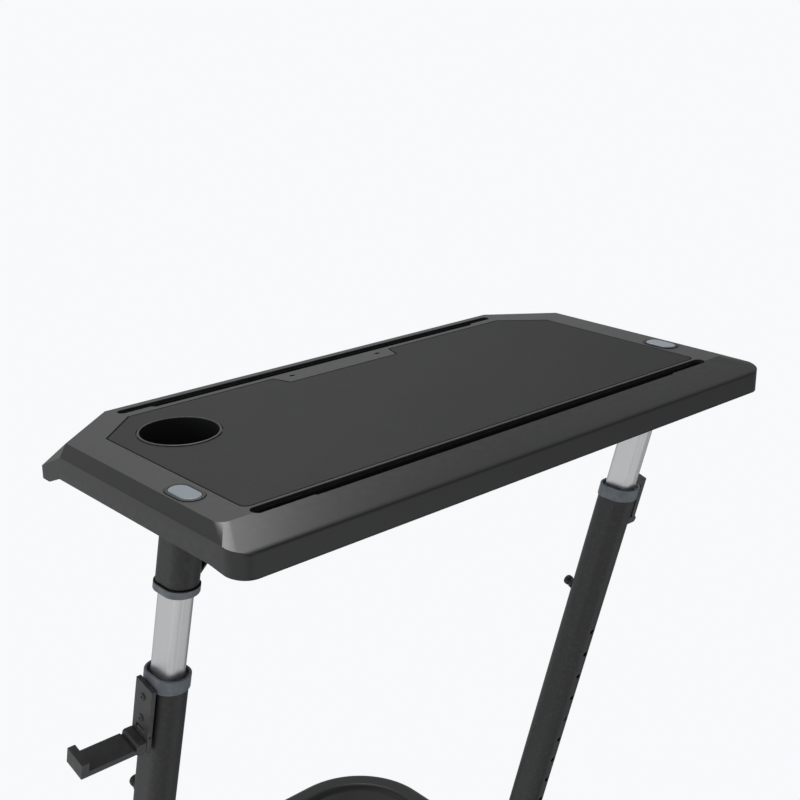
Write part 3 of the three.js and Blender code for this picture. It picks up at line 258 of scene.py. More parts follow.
@dataclass(frozen=True)
class MouldedShell(Moulded):
    """Moulded plastic whose upright near face has dark lines painted under its top edge and above its foot,
    as shade along that crease and that edge.
    """

    face: float = 0.3722
    face_depth: float = 0.005
    # heights of the dark lines painted as shade under the top crease and along the lower edge
    seams: tuple[tuple[float, float], ...] = ((1.0348, 1.0366), (1.0, 1.0126))
    shade_line_soft: float = 0.0005
    shade_line_tone: float = 0.15

    def with_painted_shade(self, base: Wire) -> Wire:
        """Darkens the base colour along the painted shade lines.

        Args:
            base: The colour elsewhere.

        Returns:
            The colour with painted shade lines.
        """
        near = base.bench.along((0, -1, 0)).step(self.face - self.face_depth, self.face)
        height = base.bench.along((0, 0, 1))
        # each band is a painted shade line
        for low, high in self.seams:
            shade_band = height.step(low - self.shade_line_soft, low) - height.step(high, high + self.shade_line_soft)
            base = base.bench.blend(shade_band * near, base, self.tone(self.shade_line_tone))
        return base


@dataclass(frozen=True)
class MatSheet(Surface):
    """Soft non-slip sheet with a pebbled surface."""

    pebble: float = 1.1
    depth: float = 0.03
    # tone of the shade painted into the grooves
    groove_shade_tone: float = 0.6

    def sockets(self, bench: Bench) -> dict[str, Value]:
        """Raises pebbles on the sheet and paints shade into the grooves between them.

        Args:
            bench: The material's bench.

        Returns:
            The shader's inputs.
        """
        pebbles = bench.node("ShaderNodeTexVoronoi", {},
                             {"Vector": bench.point, "Scale": 1 / (self.pebble * MM)})
        grooves, fine, cloud = pebbles.step(0.15, 0.75), bench.noise(0.3), bench.noise(60.0, 3.0)
        # darker grooves between pebbles: painted shade
        base = bench.blend(grooves * 0.25, self.clouded(cloud, 0.93, 1.07), self.tone(self.groove_shade_tone))
        return {"Base Color": base, "Specular IOR Level": 0.4,
                "Roughness": cloud * 0.06 + grooves * 0.05 + (self.roughness - 0.05),
                "Normal": bench.bump((1 - grooves) * 0.8 + fine * 0.2, self.depth)}


@dataclass(frozen=True)
class PowderCoat(Surface):
    """Baked powder coat on steel with a low orange-peel texture."""

    peel: float = 1.6
    depth: float = 0.02
    speck_tone: float = 1.8
    # tone of the painted highlight on outward edges
    edge_glint_tone: float = 3.0

    def sockets(self, bench: Bench) -> dict[str, Value]:
        """Adds orange peel, fine specks and a painted highlight in patches on outward edges.

        Args:
            bench: The material's bench.

        Returns:
            The shader's inputs.
        """
        peel, specks, cloud = bench.noise(self.peel, 1.5), bench.noise(0.35), bench.noise(70.0, 3.0)
        # paler patches on outward edges: a painted highlight
        painted_edge_glint = bench.edges() * bench.noise(5.0, 3.0).step(0.45, 0.75)
        dusted = bench.blend(specks.step(0.62, 0.8) * 0.12, self.clouded(cloud, 0.92, 1.08),
                             self.tone(self.speck_tone))
        return {"Base Color": bench.blend(painted_edge_glint * 0.3, dusted, self.tone(self.edge_glint_tone)),
                "Roughness": peel * 0.08 + cloud * 0.06 + (self.roughness - 0.07),
                "Normal": bench.bump(peel * 0.7 + specks * 0.3, self.depth)}


@dataclass(frozen=True)
class DrawnMetal(Surface):
    """Metal with fine lines drawn along one direction."""

    direction: Triple
    across: Triple
    metallic: float = 0.85
    line: float = 0.5
    line_squeeze: float = 0.006
    depth: float = 0.003

    def sockets(self, bench: Bench) -> dict[str, Value]:
        """Draws the lines as noise that is squeezed along the metal.

        Args:
            bench: The material's bench.

        Returns:
            The shader's inputs.
        """
        drawn = bench.node("ShaderNodeCombineXYZ", {}, {
            0: bench.along((1.0, 0.0, 0.0)), 1: bench.along(self.across),
            2: bench.along(self.direction) * self.line_squeeze})
        lines, cloud = bench.noise(self.line, point=drawn), bench.noise(45.0, 3.0)
        return {"Base Color": self.clouded(lines, 0.94, 1.05), "Metallic": self.metallic,
                "Roughness": lines * 0.08 + cloud * 0.06 + (self.roughness - 0.07),
                "Normal": bench.bump(lines, self.depth)}


@dataclass(frozen=True)
class PlatedSteel(Surface):
    """Zinc-plated steel of pins, bolts and washers."""

    spangle: float = 2.4
    depth: float = 0.004

    def sockets(self, bench: Bench) -> dict[str, Value]:
        """Adds spangle and fine upright scratches.

        Args:
            bench: The material's bench.

        Returns:
            The shader's inputs.
        """
        upright = bench.node("ShaderNodeVectorMath", {"operation": "MULTIPLY"},
                             {0: bench.point, 1: (1.0, 1.0, 0.15)})
        spangle, scratch = bench.noise(self.spangle, 3.0), bench.noise(0.4, point=upright)
        return {"Base Color": self.clouded(spangle, 0.85, 1.1), "Metallic": 1.0,
                "Roughness": spangle * 0.12 + scratch * 0.08 + (self.roughness - 0.1),
                "Normal": bench.bump(scratch, self.depth)}


@dataclass(frozen=True)
class TreadRubber(Surface):
    """Soft caster tread with dusty wear."""

    dust: Triple
    depth: float = 0.02

    def sockets(self, bench: Bench) -> dict[str, Value]:
        """Lays patches of dust on the rubber.

        Args:
            bench: The material's bench.

        Returns:
            The shader's inputs.
        """
        dust, fine = bench.noise(6.0, 4.0).step(0.45, 0.8), bench.noise(0.5)
        return {"Base Color": bench.blend(dust * 0.35, self.colour, self.dust),
                "Roughness": dust * 0.1 + fine * 0.05 + (self.roughness - 0.05),
                "Normal": bench.bump(fine, self.depth)}


class Finish(Enum):
    """Every finish on the desk."""

    HOUSING = MouldedShell("housing_plastic", (0.032, 0.032, 0.0324), 0.34, depth=0.01, reflectance=0.6)
    LINER = Moulded("liner_plastic", (0.012, 0.012, 0.0125), 0.6)
    TRIM = Moulded("trim_plastic", (0.02, 0.02, 0.021), 0.45, grain=0.4, depth=0.008)
    # the housing plastic made paler for the cup's rim: a painted highlight
    RIM = Moulded("rim_plastic", (0.075, 0.075, 0.076), 0.4, depth=0.006)
    BUTTON = Moulded("button_plastic", (0.5, 0.57, 0.64), 0.3, grain=0.3, depth=0.003, edge_highlight_share=0.1)
    COLLAR = Moulded("collar_plastic", (0.172, 0.195, 0.22), 0.4, grain=0.5, depth=0.01)
    HOOK = Moulded("hook_plastic", (0.085, 0.085, 0.086), 0.5, grain=0.6, depth=0.02)
    HUB = Moulded("hub_plastic", (0.03, 0.031, 0.033), 0.5)
    MAT = MatSheet("mat_sheet", (0.037, 0.037, 0.0377), 0.62)
    TUBE = PowderCoat("tube_coat", (0.0285, 0.0285, 0.0293), 0.42)
    SILVER = DrawnMetal("drawn_aluminium", (0.84, 0.85, 0.855), 0.38, UP_THE_LEG, ACROSS_THE_LEG)
    STEEL = PlatedSteel("plated_steel", (0.52, 0.52, 0.53), 0.34)
    TREAD = TreadRubber("tread_rubber", (0.02, 0.02, 0.02), 0.7, (0.09, 0.085, 0.08))

    @property
    def slot(self) -> str:
        """Returns the record's material slot for the finish."""
        return {"RIM": "housing", "HUB": "trim"}.get(self.name, self.name.lower())


# Outlines and rings


def rounded(corners: Sequence[Corner], facets: int = 8) -> list[Vector]:
    """Rounds the corners of an outline.

    Args:
        corners: Points as (x, y) or (x, y, radius), in order round the outline.
        facets: Steps in each rounded corner.

    Returns:
        The outline's points.
    """
    points = []
    for i, (x, y, *rest) in enumerate(corners):
        corner = Vector((x, y))
        if not rest or rest[0] <= 0:
            points.append(corner)
            continue
        entry = (Vector(corners[i - 1][:2]) - corner).normalized()
        leave = (Vector(corners[(i + 1) % len(corners)][:2]) - corner).normalized()
        half = entry.angle(leave) / 2
        centre = corner + (entry + leave).normalized() * (rest[0] / math.sin(half))
        reach = rest[0] / math.tan(half)
        start = corner + entry * reach - centre
        turn = start.angle_signed(corner + leave * reach - centre)
        points += [centre + Matrix.Rotation(-turn * step / facets, 2) @ start for step in range(facets + 1)]
    return points


def obround(width: float, length: float, facets: int) -> list[Vector]:
    """Draws straight flanks with half-round ends, longer along Y.

    Args:
        width: Size along X.
        length: Size along Y.
        facets: Steps in each end.

    Returns:
        The outline's points.
    """
    radius = width / 2
    reach = length / 2 - radius
    points = []
    for end, start in ((1, 0.0), (-1, math.pi)):
        for step in range(facets + 1):
            angle = start + math.pi * step / facets
            points.append(Vector((radius * math.cos(angle), end * reach + radius * math.sin(angle))))
    return points


def rectangle(width: float, height: float, radius: float = 0.0, facets: int = 8) -> list[Vector]:
    """Returns a centred rectangle with rounded corners."""
    w, h = width / 2, height / 2
    return rounded([(-w, -h, radius), (w, -h, radius), (w, h, radius), (-w, h, radius)], facets)


def circle(diameter: float, facets: int = 32) -> list[Vector]:
    """Returns a centred circle."""
    angles = [2 * math.pi * step / facets for step in range(facets)]
    return [Vector((math.cos(angle), math.sin(angle))) * diameter / 2 for angle in angles]


def flat_ring(outline: Outline, height: float, centre: Corner = (0, 0)) -> list[Vector]:
    """Returns an outline as a ring of points at one height."""
    return [Vector((p.x + centre[0], p.y + centre[1], height)) for p in outline]


def level_ring(outline: Outline, station: float) -> list[Vector]:
    """Returns a ring in a leg's frame that is level in the world and crosses the axis at a station."""
    return [Vector((p.x, p.y, -station - p.y * math.tan(LEG_TILT))) for p in outline]


def square_ring(outline: Outline, station: float) -> list[Vector]:
    """Returns a ring square to the leg at a station."""
    return flat_ring(outline, -station)


def ovals(width: float, length: float, sections: Sequence[Corner], ring: Ring = level_ring,
          facets: int = 24) -> list[list[Vector]]:
    """Stacks obrounds of one basic size.

    Args:
        width: The basic width.
        length: The basic length.
        sections: Growth on all sides, and station or height, of each ring.
        ring: How a ring lies.
        facets: Steps in each round end.

    Returns:
        The rings in order.
    """
    return [ring(obround(width + 2 * grow, length + 2 * grow, facets), at) for grow, at in sections]


def turned(spot: Corner, quarters: float, axis: str) -> Matrix:
    """Returns a move to a spot after some quarter turns about an axis."""
    return Matrix.Translation(spot) @ Matrix.Rotation(quarters * QUARTER, 4, axis)


# Mesh work


class Form:
    """A mesh in the making, in millimetres."""

    def __init__(self) -> None:
        """Starts with nothing."""
        self.mesh = bmesh.new()

    def loft(self, rings: Sequence[Outline], looped: bool = False) -> "Form":
        """Joins rings of equally many points.

        Args:
            rings: The rings in order.
            looped: Whether the last ring joins the first, instead of a cap on both.

        Returns:
            This form.
        """
        rows = [[self.mesh.verts.new(point) for point in ring] for ring in rings]
        for low, high in zip(rows, rows[1:] + ([rows[0]] if looped else [])):
            for i in range(len(low)):
                j = (i + 1) % len(low)
                self.mesh.faces.new((low[i], low[j], high[j], high[i]))
        if not looped:
            self.mesh.faces.new(list(reversed(rows[0])))
            self.mesh.faces.new(rows[-1])
        return self

    def bar(self, outline: Outline, start: float, end: float, ring: Ring = square_ring) -> "Form":
        """Extrudes an outline along a leg from one station to another."""
        return self.loft([ring(outline, start), ring(outline, end)])

    def prism(self, outline: Outline, low: float, high: float, centre: Corner = (0, 0)) -> "Form":
        """Extrudes an outline, moved to a centre, from a lower to a higher place on Z."""
        return self.loft([flat_ring(outline, low, centre), flat_ring(outline, high, centre)])

    def mouth(self, narrow: Outline, wide: Outline, bottom: float, lip: float,
              centre: Corner = (0, 0)) -> "Form":
        """Makes a cutter that opens by a small chamfer, lip deep, from narrow to wide at the top face."""
        sections = ((narrow, bottom), (narrow, -lip), (wide, 0), (wide, OVERRUN))
        return self.loft([flat_ring(outline, z, centre) for outline, z in sections])

    def drill(self, diameter: float, low: float, high: float, station: float, axis: str) -> "Form":
        """Makes a round cutter across a leg at a station, turned a quarter about an axis."""
        return self.prism(circle(diameter, 24), low, high).moved(turned((0, 0, -station), 1, axis))

    def spin(self, profile: Sequence[Corner], facets: int, looped: bool = False) -> "Form":
        """Turns (radius, z) points about Z; unless looped, flat discs close the ends."""
        return self.loft([flat_ring(circle(2 * radius, facets), z) for radius, z in profile], looped)

    def hull(self, points: Outline) -> "Form":
        """Wraps points in their convex hull with flat faces merged.

        Args:
            points: The points in space.

        Returns:
            This form.
        """
        for point in points:
            self.mesh.verts.new(point)
        result = bmesh.ops.convex_hull(self.mesh, input=self.mesh.verts, use_existing_faces=False)
        loose = result["geom_interior"] + result["geom_unused"]
        spare = {item for item in loose if isinstance(item, bmesh.types.BMVert)}
        bmesh.ops.delete(self.mesh, geom=list(spare), context="VERTS")
        return self.merged_flats()

    def copied(self, node: str) -> "Form":
        """Takes over the mesh of a CAD node, still in the row frame.

        Args:
            node: The node's name.

        Returns:
            This form.
        """
        self.mesh.from_mesh(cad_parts[node].data)
        bmesh.ops.remove_doubles(self.mesh, verts=self.mesh.verts, dist=2e-6)
        bmesh.ops.scale(self.mesh, vec=(1 / MM, 1 / MM, 1 / MM), verts=self.mesh.verts)
        self.merged_flats()
        bmesh.ops.connect_verts_concave(self.mesh, faces=self.mesh.faces)
        return self

    def merged_flats(self) -> "Form":
        """Joins faces that lie in one plane."""
        bmesh.ops.dissolve_limit(self.mesh, angle_limit=math.radians(0.4), verts=self.mesh.verts,
                                 edges=self.mesh.edges, delimit={"NORMAL"})
        return self

    def moved(self, matrix: Matrix) -> "Form":
        """Moves every point by a matrix."""
        bmesh.ops.transform(self.mesh, matrix=matrix, verts=self.mesh.verts)
        return self

    def joined(self, *others: "Form") -> "Form":
        """Adds the faces of other forms without cutting anything.

        Args:
            others: The other forms.

        Returns:
            This form.
        """
        for other in others:
            spare = bpy.data.meshes.new("spare")
            other.mesh.to_mesh(spare)
            self.mesh.from_mesh(spare)
            bpy.data.meshes.remove(spare)
        return self

    def _held(self) -> bpy.types.Object:
        """Returns the form as a linked object, its faces turned outwards."""
        holder = bpy.data.objects.new("work", bpy.data.meshes.new("work"))
        bmesh.ops.recalc_face_normals(self.mesh, faces=self.mesh.faces)
        self.mesh.to_mesh(holder.data)
        bpy.context.scene.collection.objects.link(holder)
        return holder

    @staticmethod
    def _dropped(holder: bpy.types.Object) -> None:
        """Removes a held object and its mesh."""
        spare = holder.data
        bpy.data.objects.remove(holder)
        bpy.data.meshes.remove(spare)

    def _modified(self, kind: str, **settings: object) -> "Form":
        """Runs one modifier over the form and takes the result.

        Args:
            kind: The modifier's type.
            settings: Its properties.

        Returns:
            This form.
        """
        holder = self._held()
        modifier = holder.modifiers.new("work", kind)
        for key, value in settings.items():
            setattr(modifier, key, value)
        graph = bpy.context.evaluated_depsgraph_get()
        result = bpy.data.meshes.new_from_object(holder.evaluated_get(graph))
        self.mesh.clear()
        self.mesh.from_mesh(result)
        self._dropped(holder)
        bpy.data.meshes.remove(result)
        return self

    def bevelled(self, width: float, segments: int, angle: float) -> "Form":
        """Rounds the edges that turn by more than an angle in degrees."""
        return self._modified("BEVEL", width=width, segments=segments, limit_method="ANGLE", profile=0.5,
                              angle_limit=math.radians(angle), use_clamp_overlap=True,
                              miter_outer="MITER_ARC")

    def eased(self, width: float, segments: int, clamped: bool) -> "Form":
        """Rounds the sharp edges that are not part of a small hole's rim.

        Args:
            width: The bevel's width.
            segments: Its segments.
            clamped: Whether the width may shrink to keep edges apart.

        Returns:
            This form.
        """
        sharp = [edge for edge in self.mesh.edges
                 if edge.calc_face_angle(0) > SHARP_TURN and edge.calc_length() > SHORTEST_EASED]
        bmesh.ops.bevel(self.mesh, geom=sharp, offset=width, offset_type="OFFSET", segments=segments,
                        profile=0.5, affect="EDGES", clamp_overlap=clamped, loop_slide=False)
        return self

    def cut(self, *cutters: "Form") -> "Form":
        """Takes the cutters' volume away.

        Args:
            cutters: The cutting forms, used one after the other.

        Returns:
            This form.
        """
        for cutter in cutters:
            tool = cutter._held()
            self._modified("BOOLEAN", object=tool, operation="DIFFERENCE", solver="EXACT")
            self._dropped(tool)
        return self


class Workshop:
    """Turns forms into finished pieces of the scene."""

    def __init__(self) -> None:
        """Starts with no material and no piece."""
        self.materials: dict[Finish, bpy.types.Material] = {}
        self.count = 0

    def material(self, finish: Finish) -> bpy.types.Material:
        """Returns a finish's material, made when it is first asked for."""
        if finish not in self.materials:
            self.materials[finish] = finish.value.material()
        return self.materials[finish]

    def piece(self, name: str, form: Form, finish: Finish, body: str, *nodes: str,
              place: Matrix = Matrix()) -> None:
        """Makes a piece of the scene from a form.

        Args:
            name: The piece's name.
            form: Its shape in millimetres.
            finish: Its finish.
            body: The CAD body that it rides on.
            nodes: CAD nodes that it stands for.
            place: Matrix from the drawing frame to the row frame, in millimetres.
        """
        form.moved(Matrix.Scale(MM, 4) @ place)
        bmesh.ops.remove_doubles(form.mesh, verts=form.mesh.verts, dist=1e-7)
        bmesh.ops.recalc_face_normals(form.mesh, faces=form.mesh.faces)
        mesh = bpy.data.meshes.new(name)
        form.mesh.to_mesh(mesh)
        form.mesh.free()
        mesh.shade_smooth()
        mesh.set_sharp_from_angle(angle=SHADED_TURN)
        made = bpy.data.objects.new(name, mesh)
        bpy.context.scene.collection.objects.link(made)
        made.modifiers.new("flat_faces", "WEIGHTED_NORMAL").keep_sharp = True
        mesh.materials.append(self.material(finish))
        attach(made, body)
        if nodes:
            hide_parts(*nodes)
        self.count += 1
        LOG.info("%s: %d faces on %s", name, len(mesh.polygons), body)

    def softened(self, node: str, finish: Finish, body: str, width: float, segments: int = 2,
                 clamped: bool = False) -> None:
        """Makes a piece that has a CAD node's shape with rounded edges."""
        self.piece(f"{node}_piece", Form().copied(node).eased(width, segments, clamped), finish, body, node)

    def dress(self, node: str, finish: Finish) -> None:
        """Gives a CAD node that stays in view a finish."""
        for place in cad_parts[node].material_slots:
            place.material = self.material(finish)
        LOG.info("%s keeps its CAD shape", node)


# The row frame and the sub-assemblies' frames


class Side(Enum):
    """The rider's left and right."""

    LEFT = -1
    RIGHT = 1

    @property
    def word(self) -> str:
        """Returns the side as names hold it."""
        return self.name.lower()


@dataclass(frozen=True)
class Layout:
    """Where the sub-assemblies stand in the row frame."""

    centre: Vector
    desk_height: float
    desk_length: float = 800.0
    leg_inset: float = 35.0
    leg_top_y: float = -58.0
    leg_top_drop: float = 34.0

    @classmethod
    def of_frame(cls) -> "Layout":
        """Reads the desktop's middle and height from its CAD node."""
        low, high = (Vector(corner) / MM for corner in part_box("desktop_shell"))
        return cls(centre=Vector(((low.x + high.x) / 2, (low.y + high.y) / 2, 0)), desk_height=high.z)

    @property
    def leg_x(self) -> float:
        """Returns how far a leg stands from the middle."""
        return self.desk_length / 2 - self.leg_inset

    def leg(self, side: Side) -> Matrix:
        """Returns a leg's frame: +Z up the leg, so a station is a distance down from its origin."""
        offset = Vector((side.value * self.leg_x, self.leg_top_y, self.desk_height - self.leg_top_drop))
        return Matrix.Translation(self.centre + offset) @ Matrix.Rotation(LEG_TILT, 4, "X")


@dataclass
class Assembly:
    """A sub-assembly drawn on the floor under the desktop's middle."""

    shop: Workshop
    layout: Layout

    def place(self) -> Matrix:
        """Returns the frame that the sub-assembly is drawn in."""
        return Matrix.Translation(self.layout.centre)

    def add(self, name: str, form: Form, finish: Finish, body: str, *nodes: str,
            spot: Matrix = Matrix()) -> None:
        """Makes a piece whose form is drawn at a spot of this frame."""
        self.shop.piece(name, form, finish, body, *nodes, place=self.place() @ spot)


@dataclass
class LegAssembly(Assembly):
    """A sub-assembly on one leg, drawn in that leg's frame."""

    side: Side

    def place(self) -> Matrix:
        """Returns the leg's frame."""
        return self.layout.leg(self.side)

    def own(self, name: str) -> str:
        """Returns a name with this side's word."""
        return f"{name}_{self.side.word}"


# Desktop


@dataclass(frozen=True)
class Slot:
    """A tablet slot, wider in its middle towards the rider."""

    name: str
    end: float
    width: float
    step_end: float
    step: float

    def outline(self, half_x: float, y: float, inset: float) -> list[Vector]:
        """Draws the slot with round ends.

        Args:
            half_x: Half the desktop's length.
            y: The slot's middle line.
            inset: How far the outline is drawn in.

        Returns:
            The outline's points.
        """
        x, step_x = half_x - self.end - inset, half_x - self.step_end - inset
        low, high = y - self.width / 2 + inset, y + self.width / 2 - inset
        radius = self.width / 2 - inset - 0.01
        top_x, top = step_x - self.step, low - self.step
        return rounded([(-x, low, radius), (-step_x, low), (-top_x, top, 0.8), (top_x, top, 0.8),
                        (step_x, low), (x, low, radius), (x, high, radius), (-x, high, radius)])


@dataclass
class Desktop(Assembly):
    """The moulded desktop with its mat, slots, cup well and buttons, drawn from the middle of its top."""

    depth: float = 395.4
    wall: float = 4.5
    edge: float = 1.2
    plateau_side: float = 17.4
    plateau_near: float = 50.7
    plateau_radius: float = 12.0
    side_drop: float = 6.5
    slope_drop: float = 11.7
    corner_radius: float = 23.0
    corner_facets: int = 28
    far_edge: float = 4.0
    far_chamfer_length: float = 99.0
    far_chamfer_depth: float = 41.7
    plateau_chamfer_depth: float = 65.7
    far_facet_drop: float = 27.0
    side_facet_setback: float = 83.7
    skirt_near: float = 36.8
    skirt_near_run: float = 45.0
    skirt_side: float = 31.5
    skirt_far: float = 41.5
    skirt_far_reach: float = 55.7
    skirt_far_rise: float = 23.0
    skirt_room: float = 20.0
    lip_inset: float = 41.0
    lip_radius: float = 6.0
    lip_rise: float = 6.5
    mat_end: float = 55.0
    mat_near: float = 65.8
    mat_far: float = 37.0
    mat_depth: float = 1.6
    mat_gap: float = 1.2
    mat_chamfer: Corner = (53.5, 44.9)
    notch_half: float = 92.0
    notch_slant: float = 8.0
    notch_depth: float = 24.0
    near_slot: Slot = Slot("near", 55.0, 14.0, 124.0, 1.6)
    near_slot_y: float = 54.5
    far_slot: Slot = Slot("far", 107.0, 11.4, 146.0, 4.2)
    far_slot_y: float = 18.9
    tray_sink: float = 3.2
    tray_wall: float = 1.6
    tray_bottom: float = 19.0
    pin_hole: Corner = (4.0, 8.0)
    pin_hole_x: float = 68.0
    pin_hole_y: float = 42.7
    cup_side: float = 124.2
    cup_far: float = 116.2
    cup_bore: float = 85.0
    cup_room: float = 2.3
    cup_rim: float = 2.6
    cup_wall: float = 2.0
    cup_depth: float = 62.0
    cup_facets: int = 96
    button_width: float = 22.0
    button_length: float = 41.0
    button_setback: float = 2.5
    bezel_width: float = 29.5
    bezel_length: float = 48.5

    def __post_init__(self) -> None:
        """Works out the places that several pieces share."""
        self.half_x, self.half_y = self.layout.desk_length / 2, self.depth / 2
        self.cup = (-self.half_x + self.cup_side, self.half_y - self.cup_far)
        self.button_y = (self.layout.leg_top_y - self.layout.leg_top_drop * math.tan(LEG_TILT)
                         + self.button_setback)

    def place(self) -> Matrix:
        """Returns the frame in the middle of the desktop's top."""
        return Matrix.Translation(self.layout.centre + Vector((0, 0, self.layout.desk_height)))

    def _arc(self, corner: Corner, start: float, end: float, inset: float) -> list[Vector]:
        """Draws a near corner's quarter arc.

        Args:
            corner: The arc's centre and radius.
            start: Height at its near end.
            end: Height at its side end.
            inset: How far it is drawn in.

        Returns:
            The arc's points.
        """
        x, y, radius = corner
        reach = radius - inset
        points = []
        for step in range(self.corner_facets + 1):
            share = step / self.corner_facets
            angle = -QUARTER + share * QUARTER
            points.append(Vector((x + reach * math.cos(angle), y + reach * math.sin(angle),
                                  start + (end - start) * share - inset)))
        return points

    def _body(self, inset: float, bottom: float) -> Form:
        """Makes the convex form of the desktop.

        Args:
            inset: How far it is drawn in on every side and above.
            bottom: Height of its lower face.

        Returns:
            The form.
        """
        half_x, half_y, radius = self.half_x, self.half_y, self.corner_radius
        side_x, far_y = half_x - inset, half_y - inset
        chamfer_x, chamfer_y = half_x - self.far_chamfer_length - inset, far_y - self.far_chamfer_depth
        edge = (half_x - radius, -half_y + radius, radius)
        plateau = (half_x - self.plateau_side - self.plateau_radius,
                   -half_y + self.plateau_near + self.plateau_radius, self.plateau_radius)
        right = [
            *self._arc(plateau, 0, 0, inset),
            *self._arc(edge, -self.slope_drop, -self.side_drop, inset),
            Vector((side_x - self.plateau_side, far_y - self.plateau_chamfer_depth, -inset)),
            Vector((chamfer_x, far_y - self.far_edge, -inset)),
            Vector((chamfer_x, far_y, -self.far_edge - inset)),
            Vector((side_x, far_y - self.side_facet_setback, -self.side_drop - inset)),
            Vector((side_x, chamfer_y, -self.far_facet_drop - inset)),
            *self._arc(edge, bottom + inset, bottom + inset, inset),
            Vector((side_x, chamfer_y, bottom)), Vector((chamfer_x, far_y, bottom))]
        return Form().hull(right + [Vector((-p.x, p.y, p.z)) for p in right])

    def _below_skirt(self) -> Form:
        """Makes the cutter below the skirt's lower edge.

        Returns:
            The cutter.
        """
        half_y, beyond = self.half_y, 5.0
        floor = -self.skirt_far - self.skirt_room
        far = half_y - self.skirt_far_reach
        lip_end, lip_top = half_y - self.lip_inset, -self.skirt_far + self.lip_rise
        profile = rounded([
            (-half_y - beyond, floor), (-half_y - beyond, -self.skirt_near), (-half_y, -self.skirt_near),
            (-half_y + self.skirt_near_run, -self.skirt_side),
            (far - self.skirt_far_rise, -self.skirt_side, 12), (far, -self.skirt_far, 8),
            (lip_end, -self.skirt_far, self.lip_radius), (lip_end + self.lip_rise, lip_top),
            (half_y + beyond, lip_top), (half_y + beyond, floor)])
        ends = (-self.half_x - beyond, self.half_x + beyond)
        return Form().loft([[Vector((x, p.x, p.y)) for p in profile] for x in ends])

    def _mat_outline(self, inset: float) -> list[Vector]:
        """Draws the mat's outline with its far notch.

        Args:
            inset: How far it is drawn in from the recess.

        Returns:
            The outline's points.
        """
        x, near = self.half_x - self.mat_end - inset, -self.half_y + self.mat_near + inset
        far = self.half_y - self.mat_far - inset
        notch, (chamfer_x, chamfer_y) = self.notch_half + inset, self.mat_chamfer
        right = [(x, near, 9), (x, far - chamfer_y, 3), (x - chamfer_x, far, 3), (notch, far, 2),
                 (notch - self.notch_slant, far - self.notch_depth, 2)]
        return rounded(right + [(-c[0], *c[1:]) for c in reversed(right)])

    def _slots(self, inset: float) -> list[list[Vector]]:
        """Returns the outlines of the near and the far slot."""
        return [self.near_slot.outline(self.half_x, -self.half_y + self.near_slot_y, inset),
                self.far_slot.outline(self.half_x, self.half_y - self.far_slot_y, inset)]

    def housing(self) -> None:
        """Makes the moulded housing."""
        form = self._body(0, -self.skirt_far)
        form.cut(self._body(self.wall, -self.skirt_far - self.skirt_room), self._below_skirt())
        form.bevelled(self.edge, 3, 8)
        through = -self.wall - OVERRUN
        form.cut(Form().mouth(self._mat_outline(0), self._mat_outline(-0.35), -self.mat_depth, 0.35))
        for narrow, wide in zip(self._slots(0), self._slots(-0.5)):
            form.cut(Form().mouth(narrow, wide, through, 0.5))
        cup = circle(self.cup_bore + 2 * self.cup_room, self.cup_facets)
        form.cut(Form().prism(cup, through, OVERRUN, self.cup))
        pin_hole = [Vector((p.y, p.x)) for p in reversed(obround(*self.pin_hole, 8))]
        for side in Side:
            hole, mouth = (obround(self.bezel_width + 2 * grow, self.bezel_length + 2 * grow, 16)
                           for grow in (0.3, 0.6))
            spot = (side.value * self.layout.leg_x, self.button_y)
            form.cut(Form().mouth(hole, mouth, through, 0.3, spot))
            spot = (side.value * self.pin_hole_x, self.half_y - self.pin_hole_y)
            form.cut(Form().prism(pin_hole, through, OVERRUN, spot))
        self.add("desk_housing", form, Finish.HOUSING, "desktop", "desktop_shell")

    def mat(self) -> None:
        """Makes the mat that is let into the plateau."""
        sections = ((0, 0.3 - self.mat_depth), (0, -0.45), (0.15, -0.13), (0.5, 0))
        form = Form().loft([flat_ring(self._mat_outline(self.mat_gap + inset), z) for inset, z in sections])
        hole = circle(self.cup_bore + 2 * (self.cup_rim + self.mat_gap), self.cup_facets)
        form.cut(Form().prism(hole, -5, 5, self.cup))
        self.add("desk_mat_sheet", form, Finish.MAT, "desktop", "desk_mat")

    def cup_well(self) -> None:
        """Makes the cup well with its raised rim and a ribbed floor, and a paler skin over the rim that is a
        painted highlight.
        """
        inner, rim, depth = self.cup_bore / 2, self.cup_bore / 2 + self.cup_rim, self.cup_depth
        wall, bend, bend_inside = inner + self.cup_wall, 8, 6
        turn = [QUARTER * step / 8 for step in range(9)]
        profile = [(wall - bend + bend * math.sin(a), -depth - self.cup_wall + bend - bend * math.cos(a))
                   for a in turn]
        profile += [(wall, -1.3), (rim, -1.3), (rim, 0.3), (rim - 0.3, 0.75), (rim - 0.9, 1.0),
                    (inner + 0.6, 1.0), (inner + 0.1, 0.7), (inner, 0.2)]
        profile += [(inner - bend_inside + bend_inside * math.sin(a),
                     -depth + bend_inside - bend_inside * math.cos(a)) for a in reversed(turn)]
        profile += [(24.0, -depth), (23.4, -depth + 0.7), (21.6, -depth + 0.7), (21.0, -depth)]
        spot = Matrix.Translation((*self.cup, 0))
        self.add("cup_well", Form().spin(profile, self.cup_facets), Finish.LINER, "desktop", "cup_insert",
                 spot=spot)
        # thin paler skin over the rim: a painted highlight
        ring = [(inner + 0.55, 0.9), (rim - 0.85, 0.9), (rim - 0.3, 0.65), (rim, 0.2), (rim + 0.12, 0.2),
                (rim - 0.2, 0.8), (rim - 0.8, 1.1), (inner + 0.6, 1.1)]
        self.add("cup_rim", Form().spin(ring, self.cup_facets, True), Finish.RIM, "desktop", spot=spot)

